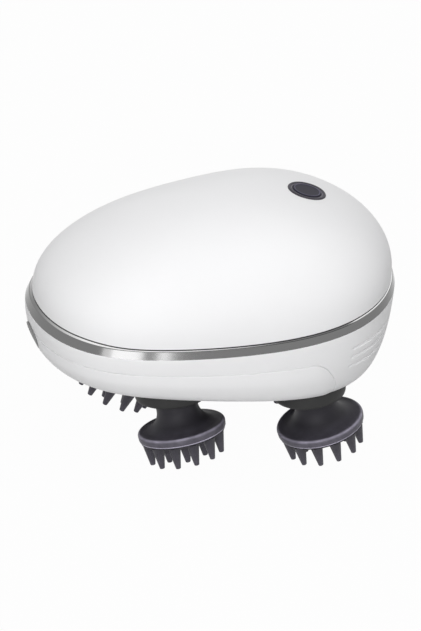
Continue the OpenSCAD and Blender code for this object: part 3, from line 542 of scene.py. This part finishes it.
FINISHES = {
    "shell_white": finish("shell_white", grey(0.80, COOL), grey(0.83, COOL), (0.42, 0.5), 2600, 0.03,
                          specular=0.25),
    # The band's bevel carries a painted highlight in this pale grey.
    "band_metal": finish("band_metal", grey(0.175), grey(0.2), (0.12, 0.16), 900, 0.04, 1.0, (0.08, 0.08, 3.0),
                         painted_highlight=grey(0.86), least=0.9),
    "seal_dark": finish("seal_dark", grey(0.1), grey(0.12), (0.6, 0.7), 1500, 0.1),
    "base_dark": finish("base_dark", grey(0.022), grey(0.03), (0.5, 0.62), 1800, 0.25),
    # The rims, discs and prongs of the heads carry painted highlights in this pale slate.
    "head_rubber": finish("head_rubber", grey(0.02, SLATE), grey(0.026, SLATE), (0.45, 0.55), 2000, 0.12,
                          specular=0.25, painted_highlight=grey(0.75, SLATE)),
    "collar_rubber": finish("collar_rubber", grey(0.024), grey(0.031), (0.5, 0.6), 2000, 0.15, specular=0.3),
    "gear_plastic": finish("gear_plastic", (0.66, 0.6, 0.48), (0.72, 0.66, 0.53), (0.4, 0.5), 1400, 0.1),
    "bush_bronze": finish("bush_bronze", (0.36, 0.22, 0.1), (0.45, 0.28, 0.13), (0.35, 0.5), 1200, 0.2, 1.0),
    "steel": finish("steel", grey(0.45), grey(0.55), (0.25, 0.36), 1200, 0.1, 1.0, (1, 1, 0.1)),
    "battery_wrap": finish("battery_wrap", (0.015, 0.14, 0.08), (0.02, 0.18, 0.1), (0.2, 0.3), 700, 0.05,
                           coat=0.3),
    "frame_grey": finish("frame_grey", grey(0.16), grey(0.19), (0.5, 0.6), 1500, 0.15),
    "board_green": finish("board_green", (0.01, 0.07, 0.03), (0.015, 0.1, 0.045), (0.35, 0.5), 600, 0.1),
    "switch_black": finish("switch_black", grey(0.01), grey(0.016), (0.4, 0.5), 1400, 0.1),
    # The button's ridge carries a painted highlight in this grey.
    "button_dark": finish("button_dark", grey(0.024, INK), grey(0.03, INK), (0.4, 0.5), 1800, 0.06,
                          specular=0.1, painted_highlight=grey(0.13, INK)),
    "bezel_dark": finish("bezel_dark", grey(0.042, SLATE), grey(0.052, SLATE), (0.4, 0.5), 1800, 0.08,
                         specular=0.2),
    "ring_pale": finish("ring_pale", grey(0.12, SLATE), grey(0.15, SLATE), (0.35, 0.45), 900, 0.03, specular=0.25),
    "port_grey": finish("port_grey", grey(0.20), grey(0.24), (0.5, 0.6), 1800, 0.12),
}


def dress_frame():
    """Gives every CAD node the finish of its own material slot."""
    for part in frame["record"]["subparts"]:
        node = frame["nodes"][part["node"]]
        node.data.materials.clear()
        node.data.materials.append(FINISHES[part["material_slot"]])


# ---- Housing ----

def turn_angles(steps=AROUND):
    return [360 * i / steps for i in range(steps)]


def make_top_shell():
    rows, inner_rows = 56, 14
    outer = [[dome(a, 90 * i / rows) for a in turn_angles()] for i in range(1, rows + 1)]
    inner = [[dome(a, 90 * i / inner_rows, SHELL_WALL) for a in turn_angles()] for i in range(inner_rows, 0, -1)]
    outer.insert(0, [dome(0, 0)] * AROUND)
    inner.append([dome(0, 0, SHELL_WALL)] * AROUND)
    shell = loft("top_shell_skin", outer + inner)
    deselect()
    bpy.ops.mesh.primitive_cylinder_add(vertices=96, radius=BEZEL_R + SEAT_GAP, depth=SHELL_WALL * 12)
    cutter = bpy.context.object
    settle(cutter, button_matrix())
    carve(shell, cutter, "DIFFERENCE", "button_hole")
    shade(shell, 30)
    dress(shell, "housing", "top_shell", "shell_white")


def rim_ring(scale, inset, drop, angles=None, lipped=0.0):
    """Ring along the rim, which follows the shell's lip as far as lipped says."""
    points = []
    for a in angles or turn_angles():
        x, y = egg(a, scale, inset - lipped * lip(a))
        points.append((x, y, rim_z(HALF_L * cos(radians(a))) - drop - lipped * lip(a)))
    return points


def make_shell_seal():
    seal = loft("shell_seal_strip", [
        rim_ring(1, SEAL_INSET, -SEAT_GAP, lipped=1),
        rim_ring(1, SEAL_INSET, SEAT_GAP - SEAL_H, lipped=1),
        rim_ring(1, BAND_WALL + LIP_WALL, SEAT_GAP - SEAL_H),
        rim_ring(1, BAND_WALL + LIP_WALL, -SEAT_GAP),
    ], closed=True)
    shade(seal)
    dress(seal, "housing", "shell_seal", "seal_dark")


def make_metal_band():
    """Band whose bevel carries a painted highlight along its upper part."""
    foot, shift = 1 + BAND_FLARE / HALF_L, BAND_FLARE / 2
    bevel_highlights = [bevel_highlight(a) for a in turn_angles()]

    def bevel_ring(share):
        return rim_ring(1 + BAND_FLARE / 2 * share / HALF_L, 0, BAND_BEVEL * share, lipped=1 - share)

    band = loft("metal_band_ring", [
        rim_ring(foot, 0, BAND_H),
        bevel_ring(1),
        bevel_ring(BEVEL_HIGHLIGHT + HIGHLIGHT_SEAM),
        bevel_ring(BEVEL_HIGHLIGHT),
        bevel_ring(0),
        rim_ring(1, 0.00005, 0, lipped=1),
        rim_ring(1, BAND_WALL, 0),
        rim_ring(foot, BAND_WALL + shift, BAND_H),
    ], closed=True, painted_highlight={3: bevel_highlights, 4: bevel_highlights})
    shade(band, 12)
    dress(band, "housing", "metal_band", "band_metal")


def wall_angles():
    """Angles round the wall, close together at the corners of the side panels."""
    low, high = PANEL_CORNER[0] - 3, PANEL_CORNER[1] + 3
    fine = [low + (high - low) * i / 48 for i in range(49)]
    rest = [a for a in turn_angles() if not low - 0.5 < from_button_end(a) < high + 0.5]
    return sorted(rest + fine + [360 - a for a in fine])


def wall_rows(angle):
    """Depths down the wall, close together across the grooves and along the edge of the side panel."""
    line = panel_line(angle)
    margin = 3.5 * CREASE_STEP
    even = [i / 64 for i in range(65)]
    across = (-1, -0.7, -0.35, 0, 0.35, 0.7, 1)
    close = [row / (1 - margin) + k * GROOVE_HALF for row in GROOVE_ROWS for k in across]
    kept = [share for share in even if min(abs(share - c) for c in close) > 0.3 * GROOVE_HALF]
    upper = [(line - margin) * share for share in sorted(kept + close)]
    edge = [min(line + k * CREASE_STEP, 1.0) for k in (-3, -2.25, -1.5, -0.75, 0, 0.75, 1.5, 2.25, 3)]
    panel = [edge[-1] + (1 - edge[-1]) * (1 - (1 - j / 30) ** 1.5) for j in range(1, 31)]
    return upper + edge + panel


def make_port_seat():
    """Block behind the wall in which the charging pocket ends."""
    half_y, half_z = PORT_A + 0.0014, PORT_B + 0.0005
    back_x = SOCKET_X + SEAT_T
    rings = []
    for k in range(9):
        z = PORT_Z + half_z * (k / 4 - 1)
        wall_x = lower(180, 1 - z / (rim_z(-HALF_L) - BAND_H), BASE_WALL * 0.9)[0]
        rings.append([(wall_x, -half_y, z), (wall_x, half_y, z), (back_x, half_y, z), (back_x, -half_y, z)])
    ends = [[((ring[0][0] + back_x) / 2, 0, ring[0][2])] * 4 for ring in (rings[0], rings[-1])]
    return loft("port_seat_block", [ends[0], *rings, ends[1]])


def lens_rise(angle):
    return copysign(abs(sin(radians(angle))) ** 1.4, sin(radians(angle)))


def pocket_ring(x, steps=96):
    half_y, half_z = PORT_A + PORT_GAP, PORT_B + PORT_GAP
    return [(x, half_y * cos(radians(a)), PORT_Z + half_z * lens_rise(a)) for a in turn_angles(steps)]


def socket_ring(x, grow, steps=48):
    """Ring round the mouth of the socket, with half-round ends."""
    r = SOCKET_H / 2 + grow
    flat = (SOCKET_W - SOCKET_H) / 2
    turns = [2 * pi * (i + 0.5) / steps for i in range(steps)]
    return [(x, copysign(flat, cos(a)) + r * cos(a), PORT_Z + r * sin(a)) for a in turns]


def ends_closed(rings):
    """Rings along X with a pole before the first and after the last."""
    poles = [[(ring[0][0], 0, PORT_Z)] * len(ring) for ring in (rings[0], rings[-1])]
    return [poles[0], *rings, poles[1]]


def make_lower_housing():
    shift = BAND_FLARE / 2
    angles = wall_angles()
    rows = [wall_rows(a) for a in angles]
    outer = [
        [lower(a, ts[k], groove(a, ts[k]) + crease(a, ts[k]) - proud(a, ts[k])) for a, ts in zip(angles, rows)]
        for k in range(len(rows[0]))
    ]
    edge = [[(*egg(a, base_scale(a, 1), BASE_EDGE), z) for a in angles] for z in (0, COVER_T)]
    inner = [[lower(a, t, BASE_WALL) for a in angles] for t in (0.8, 0.62, 0.4, 0.2)]
    lip = [
        [lower(a, 0.08, BAND_WALL + shift + LIP_GAP + LIP_WALL) for a in angles],
        rim_ring(1, BAND_WALL + LIP_GAP + LIP_WALL, LIP_GAP, angles),
        rim_ring(1, BAND_WALL + LIP_GAP, LIP_GAP, angles),
        rim_ring(1 + BAND_FLARE / HALF_L, BAND_WALL + shift + LIP_GAP, BAND_H, angles),
    ]
    housing = loft("lower_housing_skin", outer + edge + inner + lip, closed=True)
    carve(housing, make_port_seat(), "UNION", "port_seat")
    pocket = loft("port_cutter", ends_closed([pocket_ring(SOCKET_X - 0.01), pocket_ring(SOCKET_X)]))
    carve(housing, pocket, "DIFFERENCE", "port_pocket")
    slot = loft("socket_cutter", ends_closed([socket_ring(SOCKET_X + d, LIP_GAP) for d in (-0.001, SOCKET_L)]))
    carve(housing, slot, "DIFFERENCE", "socket_slot")
    shade(housing, 35)
    dress(housing, "housing", "lower_housing", "shell_white")


# ---- Charging port ----

def cover_point(angle, share, depth):
    """Point of the port cover: the share runs from 0 in its middle to 1 at its edge."""
    wall = rim_z(-HALF_L) - BAND_H
    middle = 1 - PORT_Z / wall
    reach = lower(179, middle)[1]
    turn = 180 - PORT_A * share * cos(radians(angle)) / reach
    return lower(turn, middle - PORT_B / wall * share * lens_rise(angle), depth - PANEL_STEP)


def make_port_cover():
    """Flap with a rounded edge and a shallow dish."""
    steps = turn_angles(96)
    face = [
        (0.15, PORT_DISH), (0.3, PORT_DISH), (0.45, PORT_DISH), (0.58, PORT_DISH), (0.66, PORT_DISH * 0.8),
        (0.72, PORT_DISH * 0.3), (0.77, 0), (0.84, 0), (0.9, 0), (0.95, 0.00002), (0.98, 0.00008), (1, 0.0002),
    ]
    back = [(share, PORT_COVER_T) for share in (1, 0.7, 0.35)]
    rings = [[cover_point(a, share, depth) for a in steps] for share, depth in face + back]
    poles = [[cover_point(0, 0, depth)] * len(steps) for depth in (PORT_DISH, PORT_COVER_T)]
    flap = loft("port_cover_flap", [poles[0], *rings, poles[1]])
    shade(flap, 40)
    dress(flap, "port_cover", "port_cover", "port_grey")


def make_charge_socket():
    """Socket shell with half-round ends and the tongue in its mouth."""
    back = SOCKET_X + SOCKET_L
    shell = loft("charge_socket_shell", ends_closed([
        socket_ring(back, 0), socket_ring(SOCKET_X, 0),
        socket_ring(SOCKET_X, -SOCKET_WALL), socket_ring(back - 0.001, -SOCKET_WALL),
    ]))
    deselect()
    bpy.ops.mesh.primitive_cube_add(size=1, location=(back - TONGUE_BACK, 0, PORT_Z))
    tongue = bpy.context.object
    tongue.scale = TONGUE
    bpy.ops.object.transform_apply(location=True, rotation=True, scale=True)
    round_off = tongue.modifiers.new("tongue_edge", "BEVEL")
    round_off.width, round_off.segments = TONGUE_EDGE, 3
    bpy.ops.object.modifier_apply(modifier=round_off.name)
    shell.select_set(True)
    bpy.context.view_layer.objects.active = shell
    bpy.ops.object.join()
    shade(shell, 35)
    dress(shell, "housing", "charge_socket", "steel")


# ---- Power button ----

def make_button():
    inner = BEZEL_R - BEZEL_W
    cap_r = inner - RING_W - CAP_GAP
    bezel = lathe("button_bezel_ring", [
        (inner, 0.0001), (inner + 0.0004, 0.00022), (BEZEL_R - 0.0003, 0.0002), (BEZEL_R, -0.0001),
        (BEZEL_R, -BEZEL_DEPTH), (inner - RING_W, -BEZEL_DEPTH), (inner - RING_W, -CAP_T), (inner, -CAP_T),
    ])
    ring = lathe("button_light_ring", [
        (inner - RING_W, -CAP_T), (inner - SEAT_GAP, -CAP_T), (inner - SEAT_GAP, 0), (inner - RING_W, -0.00005),
    ])
    for piece, node, slot in ((bezel, "button_bezel", "bezel_dark"), (ring, "button_ring", "ring_pale")):
        settle(piece, button_matrix())
        shade(piece, 35)
        dress(piece, "housing", node, slot)
    # The ridge of the cap is painted pale as a highlight.
    cap = lathe("button_cap_disc", [
        (0, 0.0002), (cap_r * 0.4, 0.00021), (CAP_RIDGE_R - 0.0004, 0.00022), (CAP_RIDGE_R - 0.00022, 0.00023),
        (CAP_RIDGE_R - 0.0001, 0.00033), (CAP_RIDGE_R + 0.0001, 0.00033), (CAP_RIDGE_R + 0.00022, 0.0002),
        (CAP_RIDGE_R + 0.0004, 0.00016), (cap_r - 0.00008, 0.00008), (cap_r, -0.0001), (cap_r, -CAP_T),
        (0.0016, -CAP_T), (0.0016, -0.0052), (0, -0.0052),
    ], closed=False, painted_highlight={4: 1.0, 5: 1.0})
    settle(cap, button_matrix())
    shade(cap, 35)
    dress(cap, "power_button", "button_cap", "button_dark")


# ---- Massage heads ----

def collar_ring(x, y, turn, r, z, lean, steps=96):
    """Ring of a collar, level or leaning towards the head's tilt."""
    points = []
    for i in range(steps):
        a = 2 * pi * i / steps
        points.append((x + r * cos(a), y + r * sin(a), z - r * cos(a - radians(turn)) * tan(radians(lean))))
    return points


def grip_ring(x, y, turn, length, r, steps=96):
    """Ring square to the tilted axis, starting in the same direction as the level rings."""
    matrix = head_matrix(x, y, turn)
    points = []
    for i in range(steps):
        a = 2 * pi * i / steps - radians(turn)
        points.append(tuple(matrix @ Vector((r * cos(a), r * sin(a), -length))))
    return points


def make_collar(tag, x, y, turn):
    lean = HEAD_TILT * COLLAR_LEAN
    grip = (COLLAR_DROP + COLLAR_WALL + GRIP_DROP - PIVOT_DROP) / cos(radians(HEAD_TILT))
    hole_r = NECK_R + SEAT_GAP
    collar = loft("collar_sleeve_" + tag, [
        collar_ring(x, y, turn, COLLAR_R, -COLLAR_GAP, 0),
        collar_ring(x, y, turn, COLLAR_EDGE_R, -COLLAR_DROP * 0.35, lean * 0.3),
        collar_ring(x, y, turn, COLLAR_EDGE_R, -COLLAR_DROP * 0.85, lean * 0.9),
        collar_ring(x, y, turn, COLLAR_EDGE_R - 0.0001, -COLLAR_DROP * 0.93, lean * 0.96),
        collar_ring(x, y, turn, COLLAR_EDGE_R - 0.0004, -COLLAR_DROP, lean),
        collar_ring(x, y, turn, COLLAR_EDGE_R - 0.0008, -COLLAR_DROP - 0.00025, lean),
        collar_ring(x, y, turn, COLLAR_EDGE_R - 0.0014, -COLLAR_DROP - 0.0004, lean),
        grip_ring(x, y, turn, grip, hole_r),
        grip_ring(x, y, turn, grip - COLLAR_WALL, hole_r),
        collar_ring(x, y, turn, COLLAR_EDGE_R - 0.001 - COLLAR_WALL, -COLLAR_DROP + 0.0008, lean),
        collar_ring(x, y, turn, COLLAR_R - COLLAR_WALL, -COLLAR_GAP, 0),
    ], closed=True)
    shade(collar, 50)
    dress(collar, "head_" + tag, "collar_" + tag, "collar_rubber")


def make_massage_head(tag, x, y, turn):
    flare_w, flare_h = DISC_R - RIM_ROUND - NECK_R, DISC_DROP - NECK_FLARE_DROP
    flare = [
        (NECK_R + flare_w * (1 - cos(radians(a))), -NECK_FLARE_DROP - flare_h * sin(radians(a)))
        for a in range(0, 91, 6)
    ]
    top, bottom = -DISC_DROP, -DISC_DROP - RIM_T
    rim = [
        (DISC_R - RIM_ROUND * (1 - sin(radians(a))), top - RIM_ROUND * (1 - cos(radians(a))))
        for a in range(15, 91, 15)
    ]
    recess_r, recess_h = SCREW_RECESS
    above = [(STUB_BORE, -NECK_DROP), (NECK_R, -NECK_DROP), *flare, *rim, (DISC_R - 0.0001, bottom + 0.0005)]
    # The disc and its rim are painted pale as highlights, and the lower edge as a bright highlight line.
    painted_highlight = dict(enumerate(DISC_HIGHLIGHT, len(above) - len(DISC_HIGHLIGHT)))
    lower_edge = [
        (DISC_R - 0.00014, bottom + 0.00042), (DISC_R - 0.0003, bottom + 0.00012), (DISC_R - 0.0005, bottom),
    ]
    head = lathe("massage_head_disc_" + tag, [
        *above, *lower_edge, (DISC_R - 0.0006, bottom),
        (recess_r, bottom), (recess_r, bottom + recess_h), (SCREW_BORE, bottom + recess_h),
        (SCREW_BORE, top + STUB_SHORT), (STUB_BORE, top + STUB_SHORT),
    ], painted_highlight={**painted_highlight, **dict.fromkeys(range(len(above), len(above) + len(lower_edge)), 1.0)})
    settle(head, head_matrix(x, y, turn))
    shade(head, 32)
    dress(head, "head_" + tag, "massage_head_" + tag, "head_rubber")


def prong(radius, angle, foot_z):
    """One tapered prong with a rounded tip and a small fillet at its foot."""
    tip_z = foot_z - PRONG_L
    # The prong is painted pale as a highlight down its length.
    piece = lathe("prong", [
        (PRONG_FOOT_R + FILLET, foot_z), (PRONG_FOOT_R, foot_z - FILLET),
        (PRONG_TIP_R, tip_z + PRONG_ROUND), (PRONG_TIP_R * 0.92, tip_z + PRONG_ROUND * 0.45),
        (PRONG_TIP_R * 0.6, tip_z + PRONG_ROUND * 0.05), (0, tip_z),
    ], steps=24, closed=False, painted_highlight=dict(enumerate(PRONG_HIGHLIGHT)))
    settle(piece, Matrix.Translation((radius * cos(radians(angle)), radius * sin(radians(angle)), 0)))
    return piece


def make_prong_pad(tag, x, y, turn):
    top, foot_z = -DISC_DROP - RIM_T, -DISC_DROP - RIM_T - PAD_T
    edge = DISC_R - PAD_INSET
    parts = [lathe("prong_pad_set_" + tag, [
        (PAD_WELL_R, top), (edge, top), (edge, foot_z + 0.0002), (edge - 0.0002, foot_z), (PAD_WELL_R, foot_z),
    ])]
    parts += [prong(OUTER_PRONG_R, PRONG_TURN + i * 360 / OUTER_PRONGS, foot_z) for i in range(OUTER_PRONGS)]
    parts += [prong(INNER_PRONG_R, i * 360 / INNER_PRONGS, foot_z) for i in range(INNER_PRONGS)]
    deselect()
    for part in parts:
        part.select_set(True)
    bpy.context.view_layer.objects.active = parts[0]
    bpy.ops.object.join()
    pad = bpy.context.object
    settle(pad, head_matrix(x, y, turn))
    shade(pad, 40)
    dress(pad, "head_" + tag, "prong_pad_" + tag, "head_rubber")


# ---- Studio ----

# Diffuse light from the air, the floor's own grey, and the share of plain white that the camera sees in it
AIR_LIGHT = 0.42
FLOOR_GREY = 0.4
FLOOR_GLOW = 0.975
FLOOR_SIZE = 12
FLOOR_DROP = 0.0001

# Point at which the lamps are aimed
LAMP_AIM = (0, 0, 2 * STAND)

# Dark panel that the band's bevel mirrors: its direction, its half width with and without the soft edge,
# and the share of the light that it takes
DARK_PANEL = (0.358, -0.702, 0.616)
DARK_PANEL_REACH = (27, 20)
DARK_PANEL_SHARE = 0.8

# Camera: its focal length and the place of its target in pixels, its angles, and its distance
FOCAL_PX = 5736
IMAGE_W, IMAGE_H = 421, 631
ORIGIN_PX = (203.27, 348.52)
VIEW_YAW, VIEW_PITCH, VIEW_ROLL, VIEW_DISTANCE = -18.2324, 26.9568, 6.1336, 2.0


def make_camera():
    yaw, pitch, roll = (radians(a) for a in (VIEW_YAW, VIEW_PITCH, VIEW_ROLL))
    back = Vector((sin(yaw) * cos(pitch), -cos(yaw) * cos(pitch), sin(pitch)))
    right = Vector((cos(yaw), sin(yaw), 0))
    up = back.cross(right)
    across = cos(roll) * right + sin(roll) * up
    upward = -sin(roll) * right + cos(roll) * up
    data = bpy.data.cameras.new("studio_camera")
    data.sensor_width = 36
    data.lens = FOCAL_PX / IMAGE_H * data.sensor_width
    data.shift_x = (IMAGE_W / 2 - ORIGIN_PX[0]) / IMAGE_H
    data.shift_y = (ORIGIN_PX[1] - IMAGE_H / 2) / IMAGE_H
    data.clip_start, data.clip_end = 0.05, 50
    camera = bpy.data.objects.new("studio_camera", data)
    bpy.context.scene.collection.objects.link(camera)
    camera.matrix_world = Matrix((across, upward, back)).transposed().to_4x4()
    camera.location = back * VIEW_DISTANCE + Vector((0, 0, STAND))
    bpy.context.scene.camera = camera


def make_lamp(name, place, size, power, mirrored=False):
    """Round lamp that stays out of reflections, or a mirrored one, which is a rectangle that shows in them."""
    data = bpy.data.lights.new(name, "AREA")
    data.shape, data.energy = "RECTANGLE" if mirrored else "ELLIPSE", power
    data.size, data.size_y = size
    lamp = bpy.data.objects.new(name, data)
    bpy.context.scene.collection.objects.link(lamp)
    lamp.visible_glossy = mirrored
    lamp.location = place
    lamp.rotation_mode = "QUATERNION"
    lamp.rotation_quaternion = (Vector(LAMP_AIM) - Vector(place)).to_track_quat("-Z", "Y")


def background_seen(tree):
    """1 for rays from the camera and for reflections, and 0 for diffuse light."""
    path, seen = tree.nodes.new("ShaderNodeLightPath"), tree.nodes.new("ShaderNodeMath")
    seen.operation = "MAXIMUM"
    tree.links.new(path.outputs["Is Camera Ray"], seen.inputs[0])
    tree.links.new(path.outputs["Is Glossy Ray"], seen.inputs[1])
    return seen.outputs["Value"]


def make_floor():
    """Pale floor that is clear from below."""
    deselect()
    bpy.ops.mesh.primitive_plane_add(size=FLOOR_SIZE, location=(0, 0, cad_box[0].z - FLOOR_DROP))
    floor = bpy.context.object
    floor.name = "studio_floor"
    material = bpy.data.materials.new("studio_paper")
    material.use_nodes = True
    tree = material.node_tree
    nodes, link = tree.nodes, tree.links.new
    paper = nodes["Principled BSDF"]
    paper.inputs["Base Color"].default_value = (*grey(FLOOR_GREY), 1)
    paper.inputs["Roughness"].default_value = 0.9
    share = nodes.new("ShaderNodeMath")
    share.operation = "MULTIPLY"
    share.inputs[1].default_value = FLOOR_GLOW
    white, mix = nodes.new("ShaderNodeEmission"), nodes.new("ShaderNodeMixShader")
    link(background_seen(tree), share.inputs[0])
    link(share.outputs["Value"], mix.inputs["Fac"])
    link(paper.outputs["BSDF"], mix.inputs[1])
    link(white.outputs["Emission"], mix.inputs[2])
    side, clear = nodes.new("ShaderNodeNewGeometry"), nodes.new("ShaderNodeBsdfTransparent")
    both = nodes.new("ShaderNodeMixShader")
    link(side.outputs["Backfacing"], both.inputs["Fac"])
    link(mix.outputs["Shader"], both.inputs[1])
    link(clear.outputs["BSDF"], both.inputs[2])
    link(both.outputs["Shader"], nodes["Material Output"].inputs["Surface"])
    floor.data.materials.append(material)


def dark_panel(tree):
    """What the dark panel takes from the light of the air, in reflections only."""
    nodes, link = tree.nodes, tree.links.new
    path, where = nodes.new("ShaderNodeLightPath"), nodes.new("ShaderNodeTexCoord")
    nearness, edge = nodes.new("ShaderNodeVectorMath"), nodes.new("ShaderNodeMapRange")
    nearness.operation = "DOT_PRODUCT"
    nearness.inputs[1].default_value = DARK_PANEL
    edge.inputs["From Min"].default_value = cos(radians(DARK_PANEL_REACH[0]))
    edge.inputs["From Max"].default_value = cos(radians(DARK_PANEL_REACH[1]))
    edge.inputs["To Max"].default_value = DARK_PANEL_SHARE
    taken = nodes.new("ShaderNodeMath")
    taken.operation = "MULTIPLY"
    link(where.outputs["Generated"], nearness.inputs[0])
    link(nearness.outputs["Value"], edge.inputs["Value"])
    link(edge.outputs["Result"], taken.inputs[0])
    link(path.outputs["Is Glossy Ray"], taken.inputs[1])
    return taken.outputs["Value"]


def make_air():
    """White air with the dark panel in it."""
    world = bpy.context.scene.world or bpy.data.worlds.new("studio_air")
    bpy.context.scene.world = world
    world.use_nodes = True
    tree = world.node_tree
    air = tree.nodes["Background"]
    air.inputs["Color"].default_value = (1, 1, 1, 1)
    level = tree.nodes.new("ShaderNodeMapRange")
    level.inputs["To Min"].default_value, level.inputs["To Max"].default_value = AIR_LIGHT, 1.0
    strength = tree.nodes.new("ShaderNodeMath")
    strength.operation = "SUBTRACT"
    tree.links.new(background_seen(tree), level.inputs["Value"])
    tree.links.new(level.outputs["Result"], strength.inputs[0])
    tree.links.new(dark_panel(tree), strength.inputs[1])
    tree.links.new(strength.outputs["Value"], air.inputs["Strength"])


def make_lamps():
    """Soft lamps that stay out of reflections, and strips that the band mirrors."""
    make_lamp("top_softbox", (-0.1, -0.1, 1.6), (1.5, 1.5), 9)
    make_lamp("front_softbox", (-0.35, -1.0, 1.2), (1.0, 1.0), 2.5)
    make_lamp("low_softbox", (-0.5, -1.2, 0.7), (0.6, 0.6), 3.5)
    make_lamp("rear_softbox", (0.2, 1.2, 0.9), (0.8, 0.8), 2)
    make_lamp("table_softbox", (-0.4, -1.3, 0.28), (0.6, 0.6), 3.7)
    make_lamp("left_strip_edge", (-0.821, -0.908, 0.17), (0.18, 0.25), 0.3, mirrored=True)
    make_lamp("left_strip", (-0.558, -1.067, 0.17), (0.435, 0.25), 1.46, mirrored=True)
    make_lamp("middle_strip", (-0.21, -1.18, 0.13), (0.07, 0.25), 0.26, mirrored=True)


make_camera()
dress_frame()
make_top_shell()
make_shell_seal()
make_metal_band()
make_lower_housing()
make_port_cover()
make_charge_socket()
make_button()
for tag, (x, y, turn) in HEADS.items():
    make_collar(tag, x, y, turn)
    make_massage_head(tag, x, y, turn)
    make_prong_pad(tag, x, y, turn)
make_floor()
make_air()
make_lamps()
bpy.context.scene.view_settings.view_transform = "Standard"
